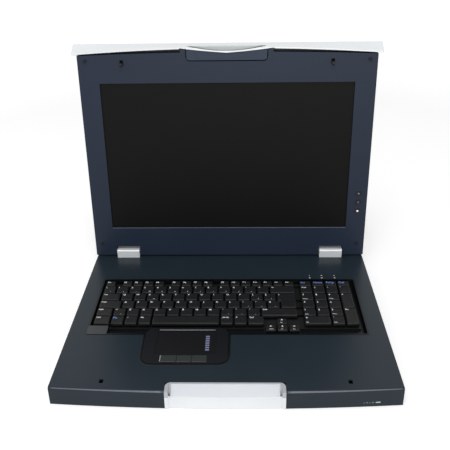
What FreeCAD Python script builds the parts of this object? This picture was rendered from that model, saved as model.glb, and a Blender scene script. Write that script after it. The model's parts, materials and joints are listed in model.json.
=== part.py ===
import FreeCAD, Part
import math
import os

# Rackmount LCD console drawer: a 1U keyboard tray on telescopic rails, with a hinged
# display lid that folds down over the keys. All sizes are in millimetres.
#
# The origin is the middle of the four rack screws, on the front face of the ears, with
# x to the right, y towards the back of the rack and z up. The drawer is modelled pulled
# right out with its lid open, which is how it is used.
#
# Pieces are drawn in one of three local frames, and save() puts them in their place:
#   rack frame - as the origin above, but z is measured from the drawer's underside
#   tray frame - the same, with y measured back from the tray's front corners
#   lid frame  - y is the depth behind the bezel face, z the height above the lid's
#                bottom edge

V = FreeCAD.Vector
os.makedirs("parts", exist_ok=True)

# ---------------------------------------------------------------- driving dimensions
merge = 0.1                     # how far a form runs into the one it is fused to
through = 1.0                   # how far a cutter runs past the faces it cuts

# Rack interface
ear_width = 482.6               # outside of the two rack ears
ear_height = 43.65              # one rack unit, less the standard clearance
ear_hole_spacing_x = 465.1      # between the left and right rack holes
ear_hole_spacing_z = 31.75      # between the lower and upper hole of one unit
ear_slot_radius = 3.5
ear_slot_length = 10.0
bracket_sheet = 2.0
flank_height = 24.0             # below the shut lid, which is a little wider than the tray
front_bracket_length = 70.0
rear_bracket_reach = 470.0      # from the front ears to the rear ears, shortest setting
rear_bracket_length = 160.0
rear_flank_lift = 1.6
rear_gusset_top = 22.0
rear_gusset_foot = 40.0

# Tray
tray_width = 430.0
tray_depth = 440.0
deck_depth = 336.0              # front corners to the front of the rear housing
deck_top = 25.4                 # the tray is one inch tall
deck_sheet = 2.0
front_bow = 8.0                 # how far the middle of the front stands ahead of its corners
skirt_wall = 2.4
front_edge_radius = 3.0
pan_sheet = 1.2
pan_half_width = 205.0
pan_front = 9.8
pan_lip_top = 17.0              # clear of the lid's latch hooks, which reach in above it
pan_lip_slope = 12.0
rear_box_front = 337.0
rear_box_top = 43.5
wall_play = 0.1                 # between one folded sheet and the next
vent_count = 12
vent_first_x = 40.0
vent_pitch = 11.0
vent_width = 4.0
vent_back = 30.0                # behind the housing's front
vent_length = 40.0
cover_flange = 9.0
drawer_travel = 448.0
front_gap = 2.0                 # front corners to rack post face when pushed home

# Pull handle
handle_half_width = 73.0
handle_back = 9.5
handle_proud = 1.2
handle_rim = 4.5
handle_rim_lift = 0.5
handle_recess = 2.0
handle_ridge_drop = 8.0
handle_corner_radius = 7.0
handle_lip = 2.6
handle_wall = 1.5
pocket_side = 4.0
pocket_height = 13.5

# Rear housing: boards, supply and sockets, tray frame
board_left = -190.0
board_right = 20.0
board_front = 348.0
board_back = 434.0
board_top = 7.6
board_sheet = 1.6
board_post_inset = 8.0
board_post_radius = 3.0
# each chip or connector: left x, middle y, width, depth, height
board_parts = [(-120.0, 385.0, 28.0, 28.0, 2.6), (-60.0, 390.0, 20.0, 20.0, 2.2),
               (-20.0, 380.0, 14.0, 26.0, 9.0), (-170.0, 375.0, 12.0, 20.0, 6.0)]
capacitor_places = [(-40.0, 420.0), (-4.0, 420.0)]
capacitor_radius = 4.0
capacitor_height = 12.0
supply_left = 52.0
supply_right = 182.0
supply_front = 346.0
supply_back = 416.0
supply_top = 33.0
inlet_x = 118.0
inlet_z = 22.0
inlet_half_x = 13.6
inlet_half_z = 9.9
inlet_depth = 19.0
inlet_flange_half_x = 25.0
inlet_flange_half_z = 11.5
inlet_flange_end_z = 4.0
inlet_flange_slope = 11.0
inlet_flange_sheet = 2.2
inlet_play = 0.2
socket_half_x = 12.0
socket_half_z = 7.8
socket_corner = 5.0
socket_depth = 15.0
blade_places = [(-7.0, -1.5), (7.0, -1.5), (0.0, 2.5)]
blade_half_x = 1.0
blade_half_z = 2.0
video_x = -140.0
usb_xs = [-95.0, -70.0]
port_z = 14.0
video_body_half = 15.4
video_body_above = 6.0
video_depth = 12.0
video_slant = 1.0
video_snout_half = 8.3
video_snout_height = 4.0
video_wall = 0.8
video_proud = 4.5
video_window_half_x = 8.7
video_window_half_z = 4.3
usb_half_x = 6.7
usb_half_z = 3.3
usb_wall = 0.8
usb_depth = 14.0
usb_proud = 1.5
usb_floor = 3.0
usb_tongue_low = 0.4
usb_tongue_high = 2.0
usb_play = 0.3

# Power light in the tray's front
status_left = 181.2
status_right = 187.0
status_bottom = 5.2
status_top = 6.8
status_play = 0.1
status_depth = 1.5              # how far the lens stands in behind the skirt

# Slide rails: inner on the tray, middle, outer on the rack
rail_centre_z = 12.0
rail_sheet = 1.0
inner_rail_half = 4.4
ball_gap = 2.0                  # clear space for the balls between two flanges
inner_rail_length = 432.0
middle_rail_length = 432.0
outer_rail_length = 440.0
inner_rail_start = 8.0          # tray frame
rail_side_gap = 0.8
inner_rail_depth = 7.2
middle_rail_depth = 7.4
outer_rail_depth = 8.2
rail_start_y = 2.0              # outer rail's front end, rack frame
rail_hole_radius = 2.2
rail_hole_ys = [25.0, 160.0, 400.0]
screw_clearance = 0.1
screw_head_radius = 3.0
screw_head_height = 1.2
nut_radius = 4.0
nut_height = 2.4
front_screw_ys = [18.0, 52.0]   # from the outer rail's front end
rear_screw_ys = [92.0, 32.0]    # from the outer rail's back end
rear_slot_half = 20.0
middle_window_ys = [40.0, 352.0]
middle_window_length = 40.0
middle_window_half = 3.0
cage_length = 150.0
cage_inset = 20.0               # cage end to rail end when the drawer is out
cage_side_gap = 1.0
cage_sheet = 0.8
ball_clearance = 0.05
balls_per_strip = 2

# Rail release levers, tray frame
lever_pivot_y = 290.0
lever_front_reach = 30.0
lever_back_reach = 16.0
lever_sheet = 1.8
lever_half_height = 1.6
lever_boss_radius = 2.8
lever_boss_proud = 0.8
lever_finger_length = 8.0
lever_finger_proud = 2.0
lever_pin_radius = 1.2
lever_pin_proud = 1.2

# Lid
lid_width = 432.0
lid_thickness = 16.5
lid_gap = 1.8                   # bezel face above the deck when closed
lid_side_clearance = 1.4        # between the shut lid and the rack ears
open_tilt = 2.5                 # degrees that the open lid leans back past upright
lid_reach = 323.5               # lid height that lands on the tray's front corners
hinge_height = 4.5              # hinge axis above the lid's bottom edge
hinge_depth = 5.3               # hinge axis behind the bezel face
bezel_sheet = 2.0
bezel_depth = 8.0
bezel_top_side = 321.5
bezel_top_middle = 325.5
bezel_tab_half = 67.0
bezel_tab_top = 330.7
shell_wall = 2.0
shell_top_side = 324.0
shell_top_middle = 330.5
shell_edge_radius = 4.0

# Display
screen_centre_x = -0.4
screen_opening_width = 372.0
screen_opening_bottom = 48.9
screen_opening_height = 232.4
screen_sheet = 1.0
screen_setback = 0.2            # glass behind the back of the bezel sheet
screen_margin = 2.0
module_margin = 4.5
module_depth = 6.0

# Silver front panel on the lid's leading edge
panel_half_width = 223.5
panel_near_side = 324.7
panel_near_middle = 332.7
panel_far = 336.0
panel_sheet = 2.0
panel_seat_gap = 0.3
beak_tip = 324.7
beak_sheet = 1.4
beak_root_gap = 0.6
beak_shoulder = 0.45            # of the half width, where the lip turns down
beak_shoulder_drop = 0.36       # of the lip's height that is left there
panel_edge_bevel = 1.0
panel_end_drop = 0.5
panel_tab_gap = 1.0

# Lid latch
paddle_half_width = 57.8
paddle_bottom = 313.9
paddle_top = 329.6
paddle_sheet = 2.4
paddle_gap = 1.5
paddle_corner = 5.0
paddle_rim = 2.6
paddle_recess_half = 45.0
paddle_recess_depth = 0.6
paddle_pivot_height = 316.2
paddle_pivot_depth = 4.2
paddle_pin_radius = 1.2
pivot_clearance = 0.05
hook_x = 152.0
hook_width = 4.0
hook_back = 308.5               # lid height of the hook shank's lower side
hook_thickness = 3.0
hook_nose = 2.5
hook_lift = 0.4                 # nose below the deck sheet when latched
latch_travel = 3.0
hook_side_clearance = 0.5
hook_tip_slope = 2.2
hook_nose_flat = 0.8
bar_sheet = 2.0
bar_height = 6.0
bar_gap = 0.3
lug_thickness = 3.0
lug_half = 2.6
lug_gap = 0.4
ear_thickness = 4.0
ear_half = 1.8
pin_inside = 2.0
pin_outside = 4.2

# Hinges
hinge_x = 163.5
hinge_cover_width = 35.7
hinge_cover_front = 309.5
hinge_cover_back = 328.0
hinge_cover_height = 13.5
hinge_cover_wall = 1.4
notch_side_clearance = 1.0
notch_height = 15.5
hinge_pin_radius = 2.0
hinge_running_clearance = 0.05
hinge_barrel_radius = 4.2
hinge_boss_radius = 3.4
hinge_base_half = 14.0
hinge_base_front = 4.0
hinge_base_sheet = 1.5
hinge_web_inset = 0.4
hinge_cover_rounding = 2.6
hinge_pin_room = 0.4
hinge_pin_past = 15.0
leaf_inner = 128.0
leaf_sheet = 1.8
leaf_top = 62.0
leaf_below = 1.0
leaf_arm_above = 2.4
leaf_gap = 0.3
relief_front = 1.6
relief_above = 1.0
relief_side = 0.5

# Monitor buttons on the right of the bezel
osd_x = 202.2
osd_heights = [106.6, 92.0, 77.2]
osd_radius = 2.5
osd_proud = 0.7
osd_travel = 0.7
osd_clearance = 0.25
osd_block_grow = 1.1
osd_block_gap = 0.3
osd_switch_gap = 0.15
osd_board_front = 5.6
osd_board_sheet = 1.4
osd_board_left = 6.0
osd_board_right = 7.0
osd_board_past = 10.0
osd_post_past = 7.5
osd_post_radius = 1.8

# Backlight driver board and the rails behind the display, lid frame
driver_half = 75.0
driver_front = 10.4
driver_back = 12.0
driver_bottom = 12.0
driver_top = 42.0
driver_post_inset = 5.0
driver_post_radius = 2.2
# each transformer or chip: left x, right x, front y, bottom z, top z
driver_parts = [(-40.0, -5.0, 8.6, 18.0, 36.0), (20.0, 50.0, 7.4, 20.0, 34.0)]
support_rail_heights = [72.0, 262.0]
support_rail_half = 185.0
support_rail_sheet = 1.2
support_rail_foot = 10.0

# Bumpers on the lid's face
bumper_x = 205.0
bumper_heights = [20.0, 313.5]
bumper_radius = 3.0
bumper_gap = 0.3

# Keyboard
key_pitch = 19.05
key_left = -186.3
key_front = 127.7
key_top = deck_top + 1.2
cap_height = 5.0
cap_gap = 0.9                   # between the skirts of neighbouring caps
cap_taper_x = 1.5
cap_taper_front = 1.6
cap_taper_back = 1.1
key_travel = 2.0
stem_size = 5.0
stem_clearance = 0.3
stem_wide_inset = 0.75 * key_pitch
stem_wide_key = 2.5 * key_pitch
stem_length = 6.0
stem_run_break = 1.8 * key_pitch
guide_plate = 2.8
guide_plate_gap = 2.4           # cap skirt above the guide plate at rest
contact_gap = 0.4               # stem above the contact board at full travel
keyboard_post_inset = 4.0
keyboard_post_radius = 4.0
keyboard_pin_radius = 1.6
plate_side = 1.0
plate_front_side = 1.5
arrow_side = 0.8
arrow_gap = 0.6
corner_block_gap = 3.0
function_row_depth = 14.3
function_key_width = 16.2
keypad_left = 106.5
arrow_width = 15.9
arrow_depth = 14.6

# Keyboard surround and touchpad
frame_left = -191.0
frame_right = 191.0
frame_front = 104.8
frame_back = 243.4
frame_wall = 2.0
frame_proud = 0.4
frame_clearance = 0.3
frame_floor = 2.0
frame_corner = 3.0
well_corner = 2.0
corner_block_right = -163.0
pad_housing_left = -109.0
pad_housing_right = 2.4
pad_housing_front = 44.0
pad_housing_back = 119.0
pad_housing_radius = 14.0
pad_housing_proud = 0.8
pad_left = -92.6
pad_right = -13.7
pad_front = 64.0
pad_back = 111.0
pad_sheet = 1.2
pad_button_edges = [-85.6, -63.5, -43.9, -24.6]
pad_button_front = 47.5
pad_button_back = 61.0
pad_button_travel = 0.7
pad_button_clearance = 0.35
pad_button_proud = 0.2
pad_button_bottom = 19.4
pad_button_foot = 3.0
pad_button_bevel = 0.6
pad_foot_half = 2.0
pad_switch_gap = 0.15
pad_board_sheet = 1.2
pad_board_reach = 18.0
pad_post_radius = 2.5
pad_drop = 0.3                  # pad face below the housing's top
pad_play = 0.2
indicator_xs = [124.5, 143.0, 162.6]
indicator_y = 247.0
indicator_width = 2.6
indicator_depth = 1.8
lens_clearance = 0.1
lens_depth = 1.5
lens_proud = 0.2

# ---------------------------------------------------------------- values that follow
rest_reach = drawer_travel + front_gap
tray_half = tray_width / 2
lid_half = lid_width / 2
hinge_y = lid_reach - hinge_height
hinge_z = deck_top + lid_gap + hinge_depth
deck_under = deck_top - deck_sheet
ear_centre_z = ear_height / 2

inner_web = pan_half_width
inner_tips = inner_web + inner_rail_depth
middle_half = inner_rail_half + ball_gap + rail_sheet
middle_web = inner_tips + rail_side_gap + rail_sheet
middle_tips = middle_web - middle_rail_depth
middle_rail_start = rail_start_y - drawer_travel / 2
outer_half = middle_half + ball_gap + rail_sheet
outer_web = middle_web + rail_side_gap + rail_sheet
outer_tips = outer_web - outer_rail_depth
outer_rail_end = rail_start_y + outer_rail_length
front_screws = [rail_start_y + y for y in front_screw_ys]
rear_screws = [outer_rail_end - y for y in rear_screw_ys]
inner_rail_end = inner_rail_start + inner_rail_length - rest_reach

cap_bottom = key_top - cap_height
plate_top = cap_bottom - guide_plate_gap
plate_bottom = plate_top - guide_plate
frame_bottom = plate_bottom - frame_floor
contact_board_top = cap_bottom - stem_length - key_travel - contact_gap
main_width = 15 * key_pitch
key_right = key_left + main_width
rows = [key_front + index * key_pitch for index in range(6)]
function_y = rows[5]
function_gap = (main_width - 16 * function_key_width) / 3
enter_left_upper = key_left + 13.5 * key_pitch
enter_left_lower = key_left + 13.75 * key_pitch
space_left = key_left + 4.25 * key_pitch
space_right = space_left + 5.0 * key_pitch
arrow_left = key_left + 12.5 * key_pitch
arrow_right = arrow_left + 3 * arrow_width
arrow_rows = [key_front - arrow_depth - arrow_gap, key_front - arrow_gap]
plate_left = key_left - plate_side
plate_right = keypad_left + 4 * key_pitch + plate_side
plate_back = function_y + function_row_depth + plate_side
plate_front = key_front - plate_front_side
well_left = frame_left + frame_wall
well_right = frame_right - frame_wall
well_back = frame_back - frame_wall
well_front = frame_front + frame_wall
ledge = 5.0
pad_button_top = deck_top + pad_housing_proud + pad_button_proud
pad_board_top = pad_button_bottom - pad_button_travel - pad_switch_gap
pad_top = deck_top + pad_housing_proud - pad_drop

module_back = bezel_sheet + screen_setback + screen_sheet + module_depth
shell_inner = lid_thickness - shell_wall


# ---------------------------------------------------------------- helpers
def box(x0, x1, y0, y1, z0, z1):
    """A block between two corners."""
    return Part.makeBox(x1 - x0, y1 - y0, z1 - z0, V(x0, y0, z0))


def rod(x0, x1, y, z, radius):
    """A round bar along x."""
    return Part.makeCylinder(radius, x1 - x0, V(x0, y, z), V(1, 0, 0))


def post(x, y, z0, z1, radius):
    """A round post along z."""
    return Part.makeCylinder(radius, z1 - z0, V(x, y, z0), V(0, 0, 1))


def hexagon(radius, point):
    """Six corners round a centre; `point` turns two offsets into a vector."""
    turns = [index * math.pi / 3 for index in range(6)]
    return [point(radius * math.cos(t), radius * math.sin(t)) for t in turns]


def hex_post(x, y, z0, z1, radius):
    """A six-sided stand-off along z."""
    corners = hexagon(radius, lambda a, b: V(x + a, y + b, z0))
    return prism(corners, V(0, 0, z1 - z0))


def hex_bar(x0, x1, y, z, radius):
    """A six-sided bar along x."""
    corners = hexagon(radius, lambda a, b: V(x0, y + a, z + b))
    return prism(corners, V(x1 - x0, 0, 0))


def hex_stud(x, y0, y1, z, radius):
    """A six-sided bar along y."""
    corners = hexagon(radius, lambda a, b: V(x + a, y0, z + b))
    return prism(corners, V(0, y1 - y0, 0))


def frustum(low, high):
    """A solid with flat sides between two rings of as many corners."""
    faces = [Part.Face(Part.makePolygon(ring + [ring[0]])) for ring in (low, high)]
    count = len(low)
    for index in range(count):
        after = (index + 1) % count
        side = [low[index], low[after], high[after], high[index], low[index]]
        faces.append(Part.Face(Part.makePolygon(side)))
    shell = Part.Shell(faces)
    solid = Part.Solid(shell)
    return solid if solid.Volume > 0 else solid.reversed()


def stud(x, y0, y1, z, radius):
    """A round post along y."""
    return Part.makeCylinder(radius, y1 - y0, V(x, y0, z), V(0, 1, 0))


def prism(points, direction):
    """A straight-sided solid from the closed outline through the points."""
    wire = Part.makePolygon(points + [points[0]])
    return Part.Face(wire).extrude(direction)


def profile_along_x(yz_points, x0, x1):
    """A solid with one y-z outline all along x."""
    return prism([V(x0, y, z) for y, z in yz_points], V(x1 - x0, 0, 0))


def profile_along_y(xz_points, y0, y1):
    """A solid with one x-z outline all along y."""
    return prism([V(x, y0, z) for x, z in xz_points], V(0, y1 - y0, 0))


def rounded_block(x0, x1, y0, y1, z0, z1, radius):
    """A block whose four upright edges are rounded."""
    block = box(x0, x1, y0, y1, z0, z1)
    upright = [e for e in block.Edges if abs(e.tangentAt(e.FirstParameter).z) > 0.99]
    return block.makeFillet(radius, upright)


def rounded_plate(x0, x1, z0, z1, y0, y1, radius):
    """An upright plate, thin in y, whose four corners are rounded."""
    block = box(x0, x1, y0, y1, z0, z1)
    corners = [e for e in block.Edges if abs(e.tangentAt(e.FirstParameter).y) > 0.99]
    return block.makeFillet(radius, corners)


def mirrored(shape):
    """The left-hand copy of a right-hand piece."""
    return shape.mirror(V(0, 0, 0), V(1, 0, 0))


def crown(x, half, side, middle):
    """Height at x of a shallow arch that is `side` at +-half and `middle` at 0."""
    rise = middle - side
    radius = (half ** 2 + rise ** 2) / (2 * rise)
    return middle - radius + math.sqrt(radius ** 2 - x ** 2)


def arch_edge(x0, x1, height, point):
    """The arc between two places on an arch; `point` turns x and height into a vector."""
    middle = (x0 + x1) / 2
    places = [point(x, height(x)) for x in (x0, middle, x1)]
    return Part.Arc(*places).toShape()


def tray_front(x, offset=0.0):
    """The bowed front line of the tray, in y, moved forward by an offset."""
    return -crown(x, tray_half, 0.0, front_bow) - offset


def line(a, b):
    """A straight edge."""
    return Part.LineSegment(a, b).toShape()


def face_of(edges):
    """The flat face inside a closed ring of edges."""
    return Part.Face(Part.Wire(edges))


def in_tray(shape):
    """Moves a piece from the tray frame to its place in the rack frame."""
    moved = shape.copy()
    moved.translate(V(0, -rest_reach, 0))
    return moved


def in_lid(shape):
    """Moves a piece from the lid frame to the open lid."""
    moved = shape.copy()
    moved.translate(V(0, -hinge_depth, -hinge_height))
    moved.rotate(V(0, 0, 0), V(1, 0, 0), -open_tilt)
    moved.translate(V(0, hinge_y - rest_reach, hinge_z))
    return moved


def save(node, solids, place=None):
    """Writes one node: a solid, or a group of separate solids."""
    if not isinstance(solids, list):
        solids = [solids]
    pieces = []
    for shape in solids:
        for solid in shape.Solids:
            pieces.append(place(solid) if place else solid)
    whole = pieces[0] if len(pieces) == 1 else Part.makeCompound(pieces)
    whole.translate(V(0, 0, -ear_centre_z))
    if not whole.isValid():
        print("not valid:", node)
    whole.exportStep("parts/" + node + ".step")


# ---------------------------------------------------------------- rack rails and brackets
def channel(x_web, x_tips, half_height, y0, y1, sheet):
    """A C-shaped rail: a web at x_web and two flanges that reach to x_tips."""
    side = 1 if x_tips > x_web else -1
    top = rail_centre_z + half_height
    bottom = rail_centre_z - half_height
    inside = x_web + side * sheet
    outline = [(x_web, bottom), (x_tips, bottom), (x_tips, bottom + sheet), (inside, bottom + sheet),
               (inside, top - sheet), (x_tips, top - sheet), (x_tips, top), (x_web, top)]
    return profile_along_y(outline, y0, y1)


def rail_holes(x, ys):
    """Cutters for screw holes in the wall of a rail or bracket at x."""
    return [hex_bar(x - bracket_sheet - through, x + bracket_sheet + through, y, rail_centre_z,
                    rail_hole_radius) for y in ys]


def cut_all(shape, cutters):
    """The shape less each of the cutters."""
    for cutter in cutters:
        shape = shape.cut(cutter)
    return shape


def inner_rail():
    """Rail screwed to the tray's side wall, with the pin that its release lever turns on."""
    end = inner_rail_start + inner_rail_length
    rail = channel(inner_web, inner_tips, inner_rail_half, inner_rail_start, end, rail_sheet)
    rail = cut_all(rail, rail_holes(inner_web, [inner_rail_start + y for y in rail_hole_ys]))
    face = inner_web + rail_sheet
    pin = rod(face - merge, face + lever_sheet + lever_pin_proud, lever_pivot_y, rail_centre_z,
              lever_pin_radius)
    return rail.fuse(pin).removeSplitter()


def release_lever():
    """Latch lever that pivots on the inner rail's pin, inside the channel."""
    x0 = inner_web + rail_sheet + wall_play
    front = lever_pivot_y - lever_front_reach
    low = rail_centre_z - lever_half_height
    high = rail_centre_z + lever_half_height
    arm = box(x0, x0 + lever_sheet, front, lever_pivot_y + lever_back_reach, low, high)
    boss = hex_bar(x0, x0 + lever_sheet + lever_boss_proud, lever_pivot_y, rail_centre_z,
                   lever_boss_radius)
    finger = box(x0, x0 + lever_sheet + lever_finger_proud, front, front + lever_finger_length, low, high)
    lever = arm.fuse(boss).fuse(finger)
    bore = rod(x0 - through, x0 + lever_sheet + lever_boss_proud + through, lever_pivot_y, rail_centre_z,
               lever_pin_radius + pivot_clearance)
    return lever.cut(bore).removeSplitter()


def middle_rail():
    """Floating rail that carries the inner one out of the outer one."""
    rail = channel(middle_web, middle_tips, middle_half, middle_rail_start,
                   middle_rail_start + middle_rail_length, rail_sheet)
    windows = []
    for y in middle_window_ys:
        start = middle_rail_start + y
        windows.append(box(middle_web - rail_sheet - through, middle_web + through, start,
                           start + middle_window_length, rail_centre_z - middle_window_half,
                           rail_centre_z + middle_window_half))
    return cut_all(rail, windows)


def outer_rail():
    """Rail fixed to the rack by its brackets."""
    rail = channel(outer_web, outer_tips, outer_half, rail_start_y, outer_rail_end, rail_sheet)
    return cut_all(rail, rail_holes(outer_web, front_screws + rear_screws))


def ear_slots(y0, y1):
    """Cutters for the two slots of one rack ear, centred on the standard holes."""
    x = ear_hole_spacing_x / 2
    reach = ear_slot_length / 2 - ear_slot_radius
    cutters = []
    for z in (ear_centre_z - ear_hole_spacing_z / 2, ear_centre_z + ear_hole_spacing_z / 2):
        slot = box(x - reach, x + reach, y0, y1, z - ear_slot_radius, z + ear_slot_radius)
        for end in (x - reach, x + reach):
            slot = slot.fuse(stud(end, y0, y1, z, ear_slot_radius))
        cutters.append(slot)
    return cutters


def front_bracket():
    """Front rack ear, folded from sheet, with a flank screwed to the outer rail."""
    ear = box(outer_web, ear_width / 2, 0, bracket_sheet, 0, ear_height)
    lid_way = box(outer_web - through, lid_half + lid_side_clearance, -through, bracket_sheet + through,
                  flank_height, ear_height + through)
    flank = box(outer_web, outer_web + bracket_sheet, 0, front_bracket_length, 0, flank_height)
    bracket = ear.cut(lid_way).fuse(flank).removeSplitter()
    slots = ear_slots(-through, bracket_sheet + through)
    return cut_all(bracket, slots + rail_holes(outer_web, front_screws))


def rear_bracket():
    """Rear rack ear on a slotted flank, which slides along the outer rail to suit the rack."""
    back = rear_bracket_reach + bracket_sheet
    start = back - rear_bracket_length
    ear = box(outer_web, ear_width / 2, rear_bracket_reach, back, 0, ear_height)
    flank_points = [(start, rear_flank_lift), (back, 0), (back, ear_height),
                    (back - rear_gusset_top, ear_height), (back - rear_gusset_foot, flank_height),
                    (start, flank_height)]
    flank = profile_along_x(flank_points, outer_web, outer_web + bracket_sheet)
    bracket = ear.fuse(flank).removeSplitter()
    slots = ear_slots(rear_bracket_reach - through, back + through)
    for y in rear_screws:
        slots.append(box(outer_web - through, outer_web + bracket_sheet + through, y - rear_slot_half,
                         y + rear_slot_half, rail_centre_z - rail_hole_radius,
                         rail_centre_z + rail_hole_radius))
    return cut_all(bracket, slots)


def bracket_screws():
    """Screws through bracket and rail, each with its nut outside."""
    screws = []
    outside = outer_web + bracket_sheet
    for y in front_screws + rear_screws:
        shank = hex_bar(outer_web - rail_sheet, outside, y, rail_centre_z,
                        rail_hole_radius - screw_clearance)
        nut = hex_bar(outside, outside + nut_height, y, rail_centre_z, nut_radius)
        screws.append(shank.fuse(nut).removeSplitter())
    return screws


def ball(x, y, z, radius):
    """A bearing ball, faceted so that it stays light to mesh."""
    waist = hexagon(radius, lambda a, b: V(x + a, y + b, z))
    caps = []
    for tip in (z - radius, z + radius):
        top = hexagon(radius / 2, lambda a, b: V(x + a, y + b, tip))
        caps.append(frustum(waist, top))
    return caps[0].fuse(caps[1])


def ball_strip(y0, z):
    """A bearing strip: a thin cage with balls standing out of both faces."""
    x0 = outer_tips + cage_side_gap
    x1 = inner_tips - cage_side_gap
    strip = box(x0, x1, y0, y0 + cage_length, z - cage_sheet / 2, z + cage_sheet / 2)
    for index in range(balls_per_strip):
        y = y0 + cage_length * (index + 0.5) / balls_per_strip
        strip = strip.fuse(ball((x0 + x1) / 2, y, z, ball_gap / 2 - ball_clearance))
    return strip


def ball_cages(flange_half, y0):
    """Upper and lower bearing strips of one pair of rails, left and right."""
    offset = flange_half + ball_gap / 2
    right = [ball_strip(y0, rail_centre_z + offset), ball_strip(y0, rail_centre_z - offset)]
    return right + [mirrored(s) for s in right]


def pair(shape):
    """A right-hand piece and its left-hand copy."""
    return [shape, mirrored(shape)]


save("outer_rail_right", outer_rail())
save("outer_rail_left", mirrored(outer_rail()))
save("middle_rail_right", middle_rail())
save("middle_rail_left", mirrored(middle_rail()))
save("inner_rail_right", inner_rail(), in_tray)
save("inner_rail_left", mirrored(inner_rail()), in_tray)
save("rail_release_levers", pair(release_lever()), in_tray)
save("front_brackets", pair(front_bracket()))
save("rear_brackets", pair(rear_bracket()))
right_screws = bracket_screws()
save("bracket_screws", right_screws + [mirrored(s) for s in right_screws])
save("ball_cages_outer", ball_cages(middle_half, rail_start_y + cage_inset))
save("ball_cages_inner", ball_cages(inner_rail_half, inner_rail_end - cage_inset - cage_length))


# ---------------------------------------------------------------- tray
def bowed_slab(offset, y_back, z0, z1, half_width):
    """A slab with the tray's bowed front, moved forward by an offset, and square sides."""
    front_left = V(-half_width, tray_front(half_width, offset), z0)
    front_right = V(half_width, tray_front(half_width, offset), z0)
    bow = arch_edge(-half_width, half_width, lambda x: tray_front(x, offset),
                    lambda x, y: V(x, y, z0))
    back_left = V(-half_width, y_back, z0)
    back_right = V(half_width, y_back, z0)
    outline = [bow, line(front_right, back_right), line(back_right, back_left),
               line(back_left, front_left)]
    return face_of(outline).extrude(V(0, 0, z1 - z0))


def frame_outline(z0, z1, grow):
    """Outline of the keyboard surround and touchpad housing, widened by `grow`."""
    keys = rounded_block(frame_left - grow, frame_right + grow, frame_front - grow, frame_back + grow,
                         z0, z1, frame_corner + grow)
    pad = rounded_block(pad_housing_left - grow, pad_housing_right + grow, pad_housing_front - grow,
                        key_front, z0, z1, pad_housing_radius + grow)
    return keys.fuse(pad).removeSplitter()


def latch_hole_y():
    """Front and back of the deck holes: the hook's path when shut, latched and released."""
    shank_back = lid_reach - hook_back
    nose_front = lid_reach - (hook_back + hook_thickness + latch_travel)
    return nose_front - hook_side_clearance, shank_back + hook_side_clearance


def lens_block(x, z0, z1, grow):
    """A lock light's lens, or with `grow` the hole for it."""
    half_x = indicator_width / 2 + grow
    half_y = indicator_depth / 2 + grow
    return box(x - half_x, x + half_x, indicator_y - half_y, indicator_y + half_y, z0, z1)


def tray_cover():
    """Moulded deck with a bowed skirt along its front."""
    body = bowed_slab(0, deck_depth, 0, deck_top, tray_half)
    front_top = [e for e in body.Edges
                 if abs(e.BoundBox.ZMin - deck_top) < 0.01 and e.BoundBox.YMin < -front_bow / 2]
    body = body.makeFillet(front_edge_radius, front_top)
    hollow = bowed_slab(-skirt_wall, deck_depth + through, -through, deck_under, tray_half + through)
    low = deck_under - through
    high = deck_top + through
    cutters = [hollow, frame_outline(low, high, frame_clearance)]
    cutters.append(box(-handle_half_width - frame_clearance, handle_half_width + frame_clearance,
                       -front_bow - through, handle_back + frame_clearance, -through, high))
    y0, y1 = latch_hole_y()
    half = hook_width / 2 + hook_side_clearance
    for x in (-hook_x, hook_x):
        cutters.append(box(x - half, x + half, y0, y1, low, high))
    for x in indicator_xs:
        cutters.append(lens_block(x, low, high, lens_clearance))
    cutters.append(box(status_left - status_play, status_right + status_play, -front_bow, skirt_wall * 2,
                       status_bottom - status_play, status_top + status_play))
    return cut_all(body, cutters)


def status_light():
    """Power light in the tray's front, flush with the bowed skirt."""
    block = box(status_left, status_right, -front_bow, skirt_wall * 2, status_bottom, status_top)
    behind = -skirt_wall - status_depth
    bow = bowed_slab(0, skirt_wall * 2, status_bottom - through, status_top + through, tray_half)
    inside = bowed_slab(behind, skirt_wall * 3, status_bottom - through, status_top + through, tray_half)
    return block.common(bow).cut(inside)


def tray_pan():
    """Folded steel pan: floor, sides that rise at the back, front lip and rear wall."""
    side_points = [(pan_front, 0), (tray_depth, 0), (tray_depth, rear_box_top - pan_sheet),
                   (rear_box_front, rear_box_top - pan_sheet), (rear_box_front, deck_under),
                   (pan_front + pan_lip_slope, deck_under), (pan_front, pan_lip_top)]
    body = profile_along_x(side_points, -pan_half_width, pan_half_width)
    inside = pan_half_width - pan_sheet
    room = box(-inside, inside, pan_front + pan_sheet, tray_depth - pan_sheet, pan_sheet, ear_height)
    wall_front = tray_depth - pan_sheet - through
    wall_back = tray_depth + through
    inlet_window = box(inlet_x - inlet_half_x - inlet_play, inlet_x + inlet_half_x + inlet_play,
                       wall_front, wall_back, inlet_z - inlet_half_z - inlet_play,
                       inlet_z + inlet_half_z + inlet_play)
    video_window = box(video_x - video_window_half_x, video_x + video_window_half_x, wall_front, wall_back,
                       port_z - video_window_half_z, port_z + video_window_half_z)
    cutters = [room, inlet_window, video_window]
    for x in usb_xs:
        half_x = usb_half_x + usb_play
        half_z = usb_half_z + usb_play
        cutters.append(box(x - half_x, x + half_x, wall_front, wall_back, port_z - half_z, port_z + half_z))
    for y in rail_hole_ys:
        cutters.append(hex_bar(-pan_half_width - through, pan_half_width + through, inner_rail_start + y,
                               rail_centre_z, rail_hole_radius))
    pan = cut_all(body, cutters)
    floor = pan_sheet - merge
    for x, y in board_posts():
        pan = pan.fuse(hex_post(x, y, floor, board_top - board_sheet, board_post_radius))
    for x, y in keyboard_posts():
        pan = pan.fuse(hex_post(x, y, floor, contact_board_top - board_sheet, keyboard_post_radius))
        pan = pan.fuse(hex_post(x, y, floor, frame_bottom, keyboard_pin_radius))
    return pan.removeSplitter()


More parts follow.
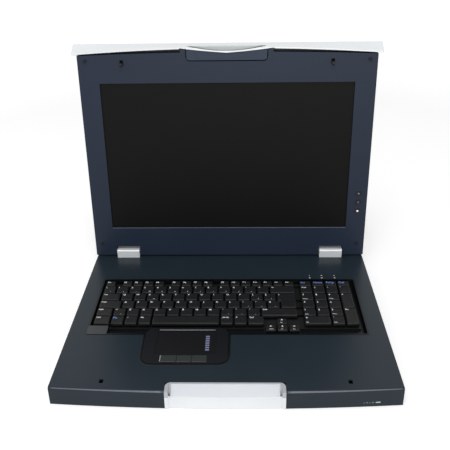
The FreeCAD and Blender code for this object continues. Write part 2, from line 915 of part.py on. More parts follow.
def corner_places(x0, x1, y0, y1, inset):
    """Four places set in from the corners of a board."""
    return [(x, y) for x in (x0 + inset, x1 - inset) for y in (y0 + inset, y1 - inset)]


def board_posts():
    """Stand-offs under the controller board."""
    return corner_places(board_left, board_right, board_front, board_back, board_post_inset)


def keyboard_posts():
    """Stepped stand-offs that carry the contact board and, on their pins, the surround."""
    return corner_places(plate_left, plate_right, plate_front, plate_back, keyboard_post_inset)


def handle():
    """Pull handle: a silver scoop set in the front edge, hollow below for the fingers."""
    top = deck_top + handle_rim_lift
    body = bowed_slab(handle_proud, handle_back, 0, top, handle_half_width)
    corners = [e for e in body.Edges if abs(e.tangentAt(e.FirstParameter).z) > 0.99
               and e.BoundBox.YMax > handle_back - merge]
    body = body.makeFillet(handle_corner_radius, corners)
    inner = handle_half_width - handle_rim
    front_y = tray_front(0, handle_proud)
    ridge_y = front_y + handle_recess
    ridge_z = deck_top - handle_ridge_drop
    slope_back = handle_back - handle_rim / 2
    scoop = profile_along_x([(slope_back, top + through), (slope_back, deck_top), (ridge_y, ridge_z),
                             (front_y - through, ridge_z), (front_y - through, top + through)],
                            -inner, inner)
    body = body.cut(scoop)
    face = bowed_slab(handle_proud + through, 0, -through, ridge_z, inner)
    kept = bowed_slab(handle_proud - handle_recess, handle_back, -through, ridge_z, tray_half)
    body = body.cut(face.cut(kept))
    pocket = box(-inner + pocket_side, inner - pocket_side, ridge_y + handle_lip, handle_back - handle_wall,
                 -through, pocket_height)
    return body.cut(pocket)


def rear_cover():
    """Lid of the rear housing: vented top sheet, front wall and two side flanges in the pan."""
    top = box(-pan_half_width, pan_half_width, rear_box_front, tray_depth, rear_box_top - pan_sheet,
              rear_box_top)
    inside = pan_half_width - pan_sheet - wall_play
    cover = top.fuse(box(-inside, inside, rear_box_front, rear_box_front + pan_sheet,
                         deck_under + frame_clearance, rear_box_top))
    for side in (-1, 1):
        x0 = min(side * inside, side * (inside - pan_sheet))
        cover = cover.fuse(box(x0, x0 + pan_sheet, rear_box_front, tray_depth - 3 * pan_sheet,
                               rear_box_top - cover_flange, rear_box_top))
    slots = []
    y = rear_box_front + vent_back
    for index in range(vent_count):
        x = vent_first_x + index * vent_pitch
        slots.append(box(x, x + vent_width, y, y + vent_length, rear_box_top - pan_sheet - through,
                         rear_box_top + through))
    return cut_all(cover.removeSplitter(), slots)


def controller_board():
    """Circuit board with its larger parts."""
    board = box(board_left, board_right, board_front, board_back, board_top - board_sheet, board_top)
    for x, y, width, depth, height in board_parts:
        board = board.fuse(box(x, x + width, y - depth / 2, y + depth / 2, board_top - merge,
                               board_top + height))
    for x, y in capacitor_places:
        board = board.fuse(hex_post(x, y, board_top - merge, board_top + capacitor_height,
                                    capacitor_radius))
    return board.removeSplitter()


def power_supply():
    """Closed power supply module on the pan floor."""
    return box(supply_left, supply_right, supply_front, supply_back, pan_sheet, supply_top)


def power_inlet():
    """Mains inlet with three blades in a deep socket."""
    back = tray_depth
    body = box(inlet_x - inlet_half_x, inlet_x + inlet_half_x, back - inlet_depth, back,
               inlet_z - inlet_half_z, inlet_z + inlet_half_z)
    reach = inlet_flange_half_x
    flat = inlet_flange_half_x - inlet_flange_slope
    upper = [(reach, inlet_flange_end_z), (flat, inlet_flange_half_z), (-flat, inlet_flange_half_z),
             (-reach, inlet_flange_end_z)]
    outline = upper + [(-x, -z) for x, z in upper]
    flange = profile_along_y([(inlet_x + x, inlet_z + z) for x, z in outline], back,
                             back + inlet_flange_sheet)
    body = body.fuse(flange)
    left = inlet_x - socket_half_x
    right = inlet_x + socket_half_x
    low = inlet_z - socket_half_z
    high = inlet_z + socket_half_z
    socket_floor = back - socket_depth
    body = body.cut(profile_along_y([(left, high), (left, low + socket_corner), (left + socket_corner, low),
                                     (right - socket_corner, low), (right, low + socket_corner),
                                     (right, high)], socket_floor, back + inlet_flange_sheet + through))
    for x, z in blade_places:
        body = body.fuse(box(inlet_x + x - blade_half_x, inlet_x + x + blade_half_x, socket_floor - merge,
                             back - through, inlet_z + z - blade_half_z, inlet_z + z + blade_half_z))
    return body.removeSplitter()


def video_outline(half, height, slant):
    """Outline of the display socket: wider above than below."""
    return [(video_x - half, port_z + height), (video_x - half + slant, port_z - height),
            (video_x + half - slant, port_z - height), (video_x + half, port_z + height)]


def video_socket():
    """Display socket: a body on the board and a hollow snout through the rear wall."""
    front = tray_depth - video_depth
    body = box(video_x - video_body_half, video_x + video_body_half, front,
               tray_depth - pan_sheet - usb_play, board_top, port_z + video_body_above)
    snout = profile_along_y(video_outline(video_snout_half, video_snout_height, video_slant),
                            tray_depth - video_depth / 2, tray_depth + video_proud)
    room = profile_along_y(video_outline(video_snout_half - video_wall, video_snout_height - video_wall,
                                         video_slant), tray_depth - usb_proud,
                           tray_depth + video_proud + through)
    return body.fuse(snout).cut(room).removeSplitter()


def usb_socket(x):
    """Keyboard and mouse socket: a shell with its tongue, on a foot."""
    front = tray_depth - usb_depth
    back = tray_depth + usb_proud
    inner_x = usb_half_x - usb_wall
    inner_z = usb_half_z - usb_wall
    shell = box(x - usb_half_x, x + usb_half_x, front, back, port_z - usb_half_z, port_z + usb_half_z)
    foot = box(x - inner_x, x + inner_x, front, tray_depth - usb_depth / 3, board_top,
               port_z - usb_half_z + merge)
    room = box(x - inner_x, x + inner_x, front + usb_floor, back + through, port_z - inner_z,
               port_z + inner_z)
    tongue = box(x - inner_x + usb_play, x + inner_x - usb_play, front + usb_floor - merge,
                 back - usb_proud, port_z + usb_tongue_low, port_z + usb_tongue_high)
    return shell.fuse(foot).cut(room).fuse(tongue).removeSplitter()


def drawer_screws():
    """Screws that hold the inner rails, their heads inside the rail channel."""
    screws = []
    face = inner_web + rail_sheet
    for y in rail_hole_ys:
        place = inner_rail_start + y
        shank = hex_bar(inner_web - 2 * pan_sheet, face, place, rail_centre_z,
                        rail_hole_radius - screw_clearance)
        head = hex_bar(face, face + screw_head_height, place, rail_centre_z, screw_head_radius)
        screws += pair(shank.fuse(head).removeSplitter())
    return screws


save("tray_cover", tray_cover(), in_tray)
save("tray_pan", tray_pan(), in_tray)
save("handle", handle(), in_tray)
save("rear_cover", rear_cover(), in_tray)
save("controller_board", controller_board(), in_tray)
save("power_supply", power_supply(), in_tray)
save("power_inlet", power_inlet(), in_tray)
save("rear_connectors", [video_socket()] + [usb_socket(x) for x in usb_xs], in_tray)
save("drawer_screws", drawer_screws(), in_tray)


# ---------------------------------------------------------------- keyboard
def stem_places(x0, x1, y0, y1):
    """One stem under a small key, and two more near the ends of a wide key."""
    y = (y0 + y1) / 2
    middle = (x0 + x1) / 2
    if x1 - x0 > stem_wide_key:
        return [(x0 + stem_wide_inset, y), (middle, y), (x1 - stem_wide_inset, y)]
    return [(middle, y)]


def stem(x, y):
    """A square stem that runs in the guide plate."""
    half = stem_size / 2
    return box(x - half, x + half, y - half, y + half, cap_bottom - stem_length, cap_bottom + merge)


def key_cap(corners):
    """A cap with sloping sides over the cell whose corners are given, smaller at the top."""
    xs = [p[0] for p in corners]
    ys = [p[1] for p in corners]
    middle_x = (min(xs) + max(xs)) / 2
    middle_y = (min(ys) + max(ys)) / 2

    def ring(z, inset_x, inset_front, inset_back):
        points = []
        for x, y in corners:
            dx = inset_x if x < middle_x else -inset_x
            dy = inset_front if y < middle_y else -inset_back
            points.append(V(x + dx, y + dy, z))
        return points

    gap = cap_gap / 2
    low = ring(cap_bottom, gap, gap, gap)
    high = ring(key_top, gap + cap_taper_x, gap + cap_taper_front, gap + cap_taper_back)
    return frustum(low, high)


def key(x0, x1, y0, y1):
    """One rectangular key with its stems."""
    cap = key_cap([(x0, y0), (x1, y0), (x1, y1), (x0, y1)])
    for x, y in stem_places(x0, x1, y0, y1):
        cap = cap.fuse(stem(x, y))
        stem_list.append((x, y))
    return cap.removeSplitter()


def key_row(x0, y0, depth, widths, unit=key_pitch):
    """Keys side by side; a negative width leaves a gap of that size."""
    keys = []
    x = x0
    for width in widths:
        step = abs(width) * unit
        if width > 0:
            keys.append(key(x, x + step, y0, y0 + depth))
        x += step
    return keys


stem_list = []
four_keys = [function_key_width] * 4
function_widths = [function_key_width, -function_gap] + four_keys + [-function_gap] + four_keys
function_widths += [-function_gap] + [function_key_width] * 7
save("keys_function_row", key_row(key_left, function_y, function_row_depth, function_widths, 1.0),
     in_tray)
save("keys_number_row", key_row(key_left, rows[4], key_pitch, [1.0] * 13 + [2.0]), in_tray)
save("keys_upper_row", key_row(key_left, rows[3], key_pitch, [1.5] + [1.0] * 12), in_tray)
save("keys_home_row", key_row(key_left, rows[2], key_pitch, [1.75] + [1.0] * 12), in_tray)
save("keys_lower_row", key_row(key_left, rows[1], key_pitch, [1.25] + [1.0] * 11 + [2.75]), in_tray)
bottom_keys = key_row(key_left, rows[0], key_pitch, [1.25, 1.0, 1.0, 1.0])
bottom_keys += key_row(space_right, rows[0], key_pitch, [1.0, 1.0, 1.25])
save("keys_bottom_row", bottom_keys, in_tray)
save("key_space", key(space_left, space_right, rows[0], rows[1]), in_tray)


def enter_key():
    """Two-row enter key, wider above than below."""
    corners = [(enter_left_lower, rows[2]), (key_right, rows[2]), (key_right, rows[4]),
               (enter_left_upper, rows[4]), (enter_left_upper, rows[3]), (enter_left_lower, rows[3])]
    cap = enter_cap(corners)
    x = (enter_left_lower + key_right) / 2
    for y in (rows[2] + key_pitch / 2, rows[3] + key_pitch / 2):
        cap = cap.fuse(stem(x, y))
        stem_list.append((x, y))
    return cap.removeSplitter()


def enter_cap(corners):
    """The stepped cap of the enter key; its step keeps clear of the key beside it."""
    low_left, low_right, high_right, high_left, step_left, step_right = corners

    def ring(z, side, front, back):
        moves = [(low_left, side, front), (low_right, -side, front), (high_right, -side, -back),
                 (high_left, side, -back), (step_left, side, front), (step_right, side, front)]
        return [V(corner[0] + dx, corner[1] + dy, z) for corner, dx, dy in moves]

    gap = cap_gap / 2
    low = ring(cap_bottom, gap, gap, gap)
    high = ring(key_top, gap + cap_taper_x, gap + cap_taper_front, gap + cap_taper_back)
    return frustum(low, high)


def arrow_keys():
    """The four arrow keys: one above three."""
    keys = []
    for column, row in ((1, 1), (0, 0), (1, 0), (2, 0)):
        x0 = arrow_left + column * arrow_width
        keys.append(key(x0, x0 + arrow_width, arrow_rows[row], arrow_rows[row] + arrow_depth))
    return keys


save("key_enter", enter_key(), in_tray)
save("keys_arrows", arrow_keys(), in_tray)
keypad_top = key_row(keypad_left, function_y, function_row_depth, [1.0] * 4)
keypad_top += key_row(keypad_left, rows[4], key_pitch, [1.0] * 4)
save("keypad_top_keys", keypad_top, in_tray)
keypad_digits = []
for row_y in rows[1:4]:
    keypad_digits += key_row(keypad_left, row_y, key_pitch, [1.0] * 3)
keypad_digits += key_row(keypad_left + 2 * key_pitch, rows[0], key_pitch, [1.0])
keypad_digits.append(key(keypad_left, keypad_left + 2 * key_pitch, rows[0], rows[1]))
save("keypad_digit_keys", keypad_digits, in_tray)
tall_left = keypad_left + 3 * key_pitch
tall_keys = [key(tall_left, tall_left + key_pitch, rows[index], rows[index + 2]) for index in (0, 2)]
save("keypad_tall_keys", tall_keys, in_tray)


def plate_outline(z0, z1, grow):
    """Outline shared by the guide plate and the contact board, with a tab under the arrows."""
    main = box(plate_left - grow, plate_right + grow, plate_front - grow, plate_back + grow, z0, z1)
    tab = box(arrow_left - arrow_side - grow, arrow_right + arrow_side + grow,
              arrow_rows[0] - plate_front_side - grow, plate_front + through, z0, z1)
    return main.fuse(tab).removeSplitter()


def guide_runs():
    """Each run of stems in line and close together: its first x, last x and y."""
    lines = {}
    for x, y in stem_list:
        lines.setdefault(round(y, 3), []).append(x)
    runs = []
    for y, xs in lines.items():
        xs.sort()
        first = last = xs[0]
        for x in xs[1:]:
            if x - last > stem_run_break:
                runs.append((first, last, y))
                first = x
            last = x
        runs.append((first, last, y))
    return runs


def key_guide_plate():
    """Plate with a guide slot for every run of key stems."""
    plate = plate_outline(plate_bottom, plate_top, 0)
    half = stem_size / 2 + stem_clearance
    slots = [box(first - half, last + half, y - half, y + half, plate_bottom - 1, plate_top + 1)
             for first, last, y in guide_runs()]
    return plate.cut(Part.makeCompound(slots))


def contact_board():
    """Board with the key contacts, below the stems."""
    board = plate_outline(contact_board_top - board_sheet, contact_board_top, 0)
    for x, y in keyboard_posts():
        board = board.cut(hex_post(x, y, contact_board_top - board_sheet - through,
                                   contact_board_top + through, keyboard_pin_radius + pad_play))
    return board


def keyboard_frame():
    """Moulded surround: rim, floor ledge, corner block and the touchpad housing."""
    rim_top = deck_top + frame_proud
    housing_top = deck_top + pad_housing_proud
    high = housing_top + through
    body = frame_outline(frame_bottom, rim_top, 0)
    well = rounded_block(well_left, well_right, well_front, well_back, plate_bottom, high, well_corner)
    corner_block = box(frame_left, corner_block_right, frame_front, key_front - corner_block_gap,
                       frame_bottom, deck_top)
    body = body.cut(well.cut(corner_block))
    housing = rounded_block(pad_housing_left, pad_housing_right, pad_housing_front, pad_housing_back,
                            frame_bottom, housing_top, pad_housing_radius)
    body = body.fuse(housing).removeSplitter()
    low = frame_bottom - through
    left = pad_button_edges[0]
    right = pad_button_edges[-1]
    grow = pad_button_clearance
    board_grow = 3.0
    under_plate = plate_outline(low, plate_bottom + through, -ledge)
    pad_hole = box(pad_left - pad_play, pad_right + pad_play, pad_front - pad_play, pad_back + pad_play,
                   pad_top - pad_sheet, high)
    button_hole = box(left - grow, right + grow, pad_button_front - grow, pad_button_back + grow, low, high)
    board_room = box(left - board_grow, right + board_grow, pad_button_front - grow,
                     pad_button_back + pad_board_reach + 2 * through, low, pad_board_top + pad_board_sheet)
    return cut_all(body, [under_plate, pad_hole, button_hole, board_room])


def touchpad_button(index):
    """One of the three buttons below the pad, with a foot that presses its switch."""
    gap = pad_button_clearance / 2
    x0 = pad_button_edges[index] + (gap if index > 0 else 0)
    x1 = pad_button_edges[index + 1] - (gap if index < 2 else 0)
    cap_low = pad_button_bottom + pad_button_foot
    cap = box(x0, x1, pad_button_front, pad_button_back, cap_low, pad_button_top)
    top = [e for e in cap.Edges if e.BoundBox.ZMin > pad_button_top - merge]
    cap = cap.makeChamfer(pad_button_bevel, top)
    x = (x0 + x1) / 2
    y = (pad_button_front + pad_button_back) / 2
    foot = box(x - pad_foot_half, x + pad_foot_half, y - pad_foot_half, y + pad_foot_half,
               pad_button_bottom, cap_low + merge)
    return cap.fuse(foot).removeSplitter()


def touchpad_board():
    """Small board under the buttons, on two posts up from the pan."""
    left = pad_button_edges[0] - 2 * through
    right = pad_button_edges[-1] + 2 * through
    under = pad_board_top - pad_board_sheet
    board = box(left, right, pad_button_front, pad_button_back + pad_board_reach, under, pad_board_top)
    for x in (left + 3 * pad_foot_half, right - 3 * pad_foot_half):
        board = board.fuse(hex_post(x, pad_button_back + pad_board_reach / 2, pan_sheet, under + merge,
                                    pad_post_radius))
    return board.removeSplitter()


def touchpad_surface():
    """The pad itself, a thin plate in the housing's recess."""
    return box(pad_left, pad_right, pad_front, pad_back, pad_top - pad_sheet, pad_top)


save("keyboard_frame", keyboard_frame(), in_tray)
save("key_guide_plate", key_guide_plate(), in_tray)
save("touchpad_surface", touchpad_surface(), in_tray)
save("keyboard_boards", [contact_board(), touchpad_board()], in_tray)
for index, name in enumerate(("left", "middle", "right")):
    save("touchpad_button_" + name, touchpad_button(index), in_tray)
lenses = [lens_block(x, deck_under - lens_depth, deck_top + lens_proud, 0) for x in indicator_xs]
save("indicator_lenses", lenses + [status_light()], in_tray)


# ---------------------------------------------------------------- hinges
def hinge_base():
    """Steel base with the barrel that the hinge pin turns in."""
    x0 = hinge_x - hinge_base_half
    x1 = hinge_x + hinge_base_half
    web_half = hinge_barrel_radius - hinge_web_inset
    foot_top = deck_top + hinge_base_sheet
    foot = box(x0, x1, hinge_y - hinge_base_front, hinge_cover_back - hinge_cover_wall - frame_clearance,
               deck_top, foot_top)
    web = box(x0, x1, hinge_y - web_half, hinge_y + web_half, foot_top - merge, hinge_z)
    barrel = rod(x0, x1, hinge_y, hinge_z, hinge_barrel_radius)
    bore = rod(x0 - through, x1 + through, hinge_y, hinge_z, hinge_pin_radius + hinge_running_clearance)
    return foot.fuse(web).fuse(barrel).cut(bore).removeSplitter()


def hinge_cover():
    """Silver cover over the hinge, rounded where the lid's notch swings past it."""
    left = hinge_x - hinge_cover_width / 2
    right = hinge_x + hinge_cover_width / 2
    top = deck_top + hinge_cover_height
    body = box(left, right, hinge_cover_front, hinge_cover_back, deck_top, top)
    long_edges = [e for e in body.Edges
                  if abs(e.tangentAt(e.FirstParameter).x) > 0.99 and e.BoundBox.ZMin > top - merge]
    body = body.makeFillet(hinge_cover_rounding, long_edges)
    wall = hinge_cover_wall
    room = box(left + wall, right - wall, hinge_cover_front + wall, hinge_cover_back - wall,
               deck_top - through, top - wall)
    pin_room = hinge_pin_radius + hinge_pin_room
    pin_way = box(left - through, left + wall + through, hinge_y - pin_room, hinge_y + pin_room,
                  deck_top - through, hinge_z + pin_room)
    return body.cut(room).cut(pin_way)


def hinge_pin():
    """Pin fixed in the lid's leaf and turning in the base; drawn in the lid frame."""
    return rod(leaf_inner, hinge_x + hinge_pin_past, hinge_depth, hinge_height, hinge_pin_radius)


def hinge_leaf():
    """Lid side of the hinge: a boss on the pin and a plate up the back of the lid."""
    x1 = hinge_x - hinge_cover_width / 2 - notch_side_clearance - leaf_gap
    low = hinge_height - leaf_below
    boss = hex_bar(leaf_inner, x1, hinge_depth, hinge_height, hinge_boss_radius)
    arm = box(leaf_inner, x1, hinge_depth, shell_inner, low, hinge_height + leaf_arm_above)
    plate = box(leaf_inner, x1, shell_inner - leaf_sheet, shell_inner, low, leaf_top)
    bore = rod(leaf_inner - through, x1 + through, hinge_depth, hinge_height, hinge_pin_radius)
    return boss.fuse(arm).fuse(plate).cut(bore).removeSplitter()


def hinge_relief():
    """Room in the lid's mouldings for the leaf's boss."""
    return box(leaf_inner - relief_side, hinge_x - hinge_cover_width / 2, relief_front, shell_inner,
               -through, hinge_height + hinge_boss_radius + relief_above)


save("hinge_cover_right", hinge_cover(), in_tray)
save("hinge_cover_left", mirrored(hinge_cover()), in_tray)
save("hinge_bases", pair(hinge_base()), in_tray)
save("hinge_leaves", pair(hinge_leaf()), in_lid)
save("hinge_pins", pair(hinge_pin()), in_lid)


# ---------------------------------------------------------------- lid
def hinge_notch(y1):
    """Cutter for the notch that clears one hinge cover."""
    half = hinge_cover_width / 2 + notch_side_clearance
    return box(hinge_x - half, hinge_x + half, -through, y1, -through, notch_height)


def arched_plate(half, side, middle, y0, y1, bottom):
    """An upright plate with straight sides and an arched top."""
    def point(x, z):
        return V(x, y0, z)

    top = arch_edge(half, -half, lambda x: crown(x, half, side, middle), point)
    outline = [line(point(-half, bottom), point(half, bottom)), line(point(half, bottom), point(half, side)),
               top, line(point(-half, side), point(-half, bottom))]
    return face_of(outline).extrude(V(0, y1 - y0, 0))


def bezel_body(y0, y1, shrink):
    """Solid outline of the bezel between two depths, smaller by `shrink` all round."""
    half = lid_half - shrink
    plate = arched_plate(half, bezel_top_side - shrink, bezel_top_middle - shrink, y0, y1, shrink)
    tab = box(-bezel_tab_half + shrink, bezel_tab_half - shrink, y0, y1, paddle_bottom,
              bezel_tab_top - shrink)
    return plate.fuse(tab).removeSplitter()


def paddle_cutout():
    """Room for the latch paddle, open at the lid's leading edge."""
    half = paddle_half_width + paddle_gap
    top = bezel_tab_top + paddle_corner + paddle_gap + through
    return rounded_plate(-half, half, paddle_bottom - paddle_gap, top, -through, bezel_depth + through,
                         paddle_corner + paddle_gap)


def hook_slot(x):
    """Slot in the bezel that one latch hook stands out of and slides along."""
    half = hook_width / 2 + hook_side_clearance
    return box(x - half, x + half, -through, bezel_sheet + through, hook_back - hook_side_clearance,
               hook_back + hook_thickness + latch_travel + hook_side_clearance)


def paddle_lug():
    """Lug behind the bezel with the bore for one of the paddle's pivot pins."""
    x0 = paddle_half_width + paddle_gap + lug_gap
    return box(x0, x0 + lug_thickness, bezel_sheet - merge, paddle_pivot_depth + lug_half,
               paddle_pivot_height - lug_half, paddle_pivot_height + lug_half)


def lid_bezel():
    """Moulded front of the lid, with the screen opening, latch recess and button holes."""
    body = bezel_body(0, bezel_depth, 0)
    left = screen_centre_x - screen_opening_width / 2
    cutters = [bezel_body(bezel_sheet, bezel_depth + through, shell_wall),
               box(left, left + screen_opening_width, -through, bezel_sheet + through,
                   screen_opening_bottom, screen_opening_bottom + screen_opening_height),
               paddle_cutout()]
    cutters += [hook_slot(-hook_x), hook_slot(hook_x)]
    cutters += pair(hinge_notch(bezel_depth + through)) + pair(hinge_relief())
    for z in osd_heights:
        cutters.append(stud(osd_x, -through, bezel_sheet + through, z, osd_radius + osd_clearance))
    body = cut_all(body, cutters)
    for lug in pair(paddle_lug()):
        body = body.fuse(lug)
    reach = paddle_half_width + paddle_gap + lug_gap + lug_thickness + through
    pivot = rod(-reach, reach, paddle_pivot_depth, paddle_pivot_height, paddle_pin_radius + pivot_clearance)
    return body.cut(pivot).removeSplitter()


def lid_back_shell():
    """Shallow metal tray that closes the back of the lid."""
    body = arched_plate(lid_half, shell_top_side, shell_top_middle, bezel_depth, lid_thickness, 0)
    rear = [e for e in body.Edges if e.BoundBox.YMin > lid_thickness - merge]
    body = body.makeFillet(shell_edge_radius, rear)
    wall = shell_wall
    room = arched_plate(lid_half - wall, shell_top_side - wall, shell_top_middle - wall,
                        bezel_depth - through, shell_inner, wall)
    notches = pair(hinge_notch(lid_thickness + through)) + pair(hinge_relief())
    return cut_all(body, [room] + notches).removeSplitter()


def panel_section(x):
    """The panel's skin across the lid's leading edge at one x: sloping face and back return."""
    near = crown(x, panel_half_width, panel_near_side, panel_near_middle)
    seat = crown(x, panel_half_width, shell_top_side, shell_top_middle) + panel_seat_gap
    back = lid_thickness
    bevel = panel_edge_bevel
    points = [(0, near), (back - bevel, panel_far), (back, panel_far - bevel), (back, seat),
              (back - panel_sheet, seat), (back - panel_sheet, panel_far - 1.4 * panel_sheet),
              (0, near - panel_sheet)]
    return Part.makePolygon([V(x, y, z) for y, z in points + [points[0]]])


def panel_end_cap():
    """Closed end of the panel, which wraps the lid's corner."""
    back = lid_thickness
    bevel = panel_edge_bevel
    low = bezel_top_side + panel_end_drop
    outline = [(0, low), (0, panel_near_side), (back - bevel, panel_far), (back, panel_far - bevel),
               (back, low)]
    return profile_along_x(outline, lid_half + panel_seat_gap, panel_half_width)


def panel_beak():
    """Thumb guide over the latch paddle: a thin lip that dips to a point in the middle."""
    y0 = -beak_sheet
    half = bezel_tab_half
    root = bezel_tab_top + beak_root_gap
    top = panel_near_middle - panel_edge_bevel
    shoulder_x = half * beak_shoulder
    shoulder_z = beak_tip + beak_shoulder_drop * (root - beak_tip)

    def point(x, z):
        return V(x, y0, z)

    left = Part.Arc(point(-half, root), point(-shoulder_x, shoulder_z), point(0, beak_tip)).toShape()
    right = Part.Arc(point(0, beak_tip), point(shoulder_x, shoulder_z), point(half, root)).toShape()
    outline = [left, right, line(point(half, root), point(half, top)),
               line(point(half, top), point(-half, top)), line(point(-half, top), point(-half, root))]
    lip = face_of(outline).extrude(V(0, beak_sheet - pad_play, 0))
    tie = box(-half, half, y0, through, root, top)
    return lip.fuse(tie)


def front_panel():
    """Silver strip on the leading edge of the lid, with a beak over the latch paddle."""
    sections = [panel_section(x) for x in (-panel_half_width, 0, panel_half_width)]
    skin = Part.makeLoft(sections, True, False)
    for cap in pair(panel_end_cap()):
        skin = skin.fuse(cap)
    reach = bezel_tab_half + panel_tab_gap
    centre_gap = box(-reach, reach, -through, bezel_depth + panel_seat_gap, paddle_bottom,
                     bezel_tab_top + panel_seat_gap)
    return skin.cut(centre_gap).fuse(panel_beak()).removeSplitter()


def screen_block(margin, y0, y1):
    """A block behind the screen opening, wider than it by a margin all round."""
    left = screen_centre_x - screen_opening_width / 2 - margin
    bottom = screen_opening_bottom - margin
    return box(left, left + screen_opening_width + 2 * margin, y0, y1, bottom,
               bottom + screen_opening_height + 2 * margin)


def lcd_screen():
    """Glass front of the display."""
    front = bezel_sheet + screen_setback
    return screen_block(screen_margin, front, front + screen_sheet)


def lcd_module():
    """Metal-backed display module behind the glass."""
    return screen_block(module_margin, bezel_sheet + screen_setback + screen_sheet, module_back)


def lcd_support_rails():
    """Two folded rails between the display module and the back shell."""
    rails = []
    sheet = support_rail_sheet
    foot = support_rail_foot
    for z in support_rail_heights:
        outline = [(module_back, z - foot), (module_back + sheet, z - foot), (module_back + sheet, z - sheet),
                   (shell_inner, z - sheet), (shell_inner, z + foot), (shell_inner - sheet, z + foot),
                   (shell_inner - sheet, z), (module_back, z)]
        rails.append(profile_along_x(outline, -support_rail_half, support_rail_half))
    return rails


def lid_driver_board():
    """Backlight and panel driver, on four posts from the back shell."""
    board = box(-driver_half, driver_half, driver_front, driver_back, driver_bottom, driver_top)
    for x, z in corner_places(-driver_half, driver_half, driver_bottom, driver_top, driver_post_inset):
        board = board.fuse(hex_stud(x, driver_back - merge, shell_inner, z, driver_post_radius))
    for x0, x1, y0, z0, z1 in driver_parts:
        board = board.fuse(box(x0, x1, y0, driver_front + merge, z0, z1))
    return board.removeSplitter()


def osd_board():
    """Board behind the monitor buttons, on two posts from the bezel."""
    low = osd_heights[-1]
    high = osd_heights[0]
    board = box(osd_x - osd_board_left, osd_x + osd_board_right, osd_board_front,
                osd_board_front + osd_board_sheet, low - osd_board_past, high + osd_board_past)
    for z in (low - osd_post_past, high + osd_post_past):
        board = board.fuse(hex_stud(osd_x, bezel_sheet, osd_board_front + merge, z, osd_post_radius))
    return board.removeSplitter()


def osd_button(z):
    """A round button on a square block, which keeps it behind the bezel."""
    block_front = bezel_sheet + osd_block_gap
    cap = stud(osd_x, -osd_proud, block_front + merge, z, osd_radius)
    reach = osd_radius + osd_block_grow
    block = box(osd_x - reach, osd_x + reach, block_front, osd_board_front - osd_travel - osd_switch_gap,
                z - reach, z + reach)
    return cap.fuse(block).removeSplitter()


def latch_paddle():
    """Push paddle in the bezel's leading edge, on two pivot pins."""
    plate = rounded_plate(-paddle_half_width, paddle_half_width, paddle_bottom, paddle_top, 0,
                          paddle_sheet, paddle_corner)
    square_top = box(-paddle_half_width, paddle_half_width, 0, paddle_sheet, paddle_top - paddle_corner,
                     paddle_top)
    recess = box(-paddle_recess_half, paddle_recess_half, -through, paddle_recess_depth,
                 paddle_bottom + paddle_rim, paddle_top + through)
    plate = plate.fuse(square_top).cut(recess)
    ear = box(paddle_half_width - ear_thickness, paddle_half_width, paddle_sheet - merge,
              paddle_pivot_depth + ear_half, paddle_pivot_height - ear_half, paddle_pivot_height + ear_half)
    pin = rod(paddle_half_width - pin_inside, paddle_half_width + pin_outside, paddle_pivot_depth,
              paddle_pivot_height, paddle_pin_radius)
    for piece in pair(ear.fuse(pin)):
        plate = plate.fuse(piece)
    return plate.removeSplitter()


def latch_hook():
    """One hook: a shank that stands out of the bezel, with a nose that catches under the deck."""
    x0 = hook_x - hook_width / 2
    x1 = hook_x + hook_width / 2
    tip = -(lid_gap + deck_sheet + hook_lift)
    back = bezel_sheet + bar_gap + bar_sheet
    shank = box(x0, x1, tip - hook_tip_slope, back, hook_back, hook_back + hook_thickness)
    foot = box(x0, x1, back - bar_sheet, back, hook_back - through, hook_back + hook_thickness)
    nose = profile_along_x([(tip, hook_back + merge), (tip, hook_back - hook_nose),
                            (tip - hook_nose_flat, hook_back - hook_nose),
                            (tip - hook_tip_slope, hook_back + merge)], x0, x1)
    return shank.fuse(foot).fuse(nose)


def latch_bar():
    """Sliding bar behind the bezel with a hook at each end."""
    front = bezel_sheet + bar_gap
    reach = hook_x + hook_width / 2
    bar = box(-reach, reach, front, front + bar_sheet, hook_back - bar_height, hook_back)
    for hook in pair(latch_hook()):
        bar = bar.fuse(hook)
    return bar.removeSplitter()


def lid_bumpers():
    """Rubber bumpers that rest on the deck when the lid is shut."""
    return [hex_stud(x, bumper_gap - lid_gap, 0, z, bumper_radius)
            for x in (-bumper_x, bumper_x) for z in bumper_heights]


save("lid_bezel", lid_bezel(), in_lid)
save("lid_back_shell", lid_back_shell(), in_lid)
save("front_panel", front_panel(), in_lid)
save("lcd_screen", lcd_screen(), in_lid)
save("lcd_module", lcd_module(), in_lid)
save("lcd_support_rails", lcd_support_rails(), in_lid)
save("lid_driver_board", lid_driver_board(), in_lid)
save("osd_board", osd_board(), in_lid)
for index, height in enumerate(osd_heights):
    save("osd_button_" + str(index + 1), osd_button(height), in_lid)
save("latch_paddle", latch_paddle(), in_lid)
save("latch_bar", latch_bar(), in_lid)
save("lid_bumpers", lid_bumpers(), in_lid)
print("nodes", len([n for n in os.listdir("parts") if n.endswith(".step")]))
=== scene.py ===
# %% [markdown]
# # A rack console drawer
# The real thing is a slim steel drawer for a server rack: a moulded deck with a keyboard and a
# touchpad, and a hinged lid with a flat screen that folds down over them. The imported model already
# has every hard part at its true size, so this script only adds finish: rounded key caps with
# their lettering, small trims, materials, light and a camera.

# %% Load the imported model
import json
import math

import bpy
import numpy as np
from mathutils import Matrix, Vector


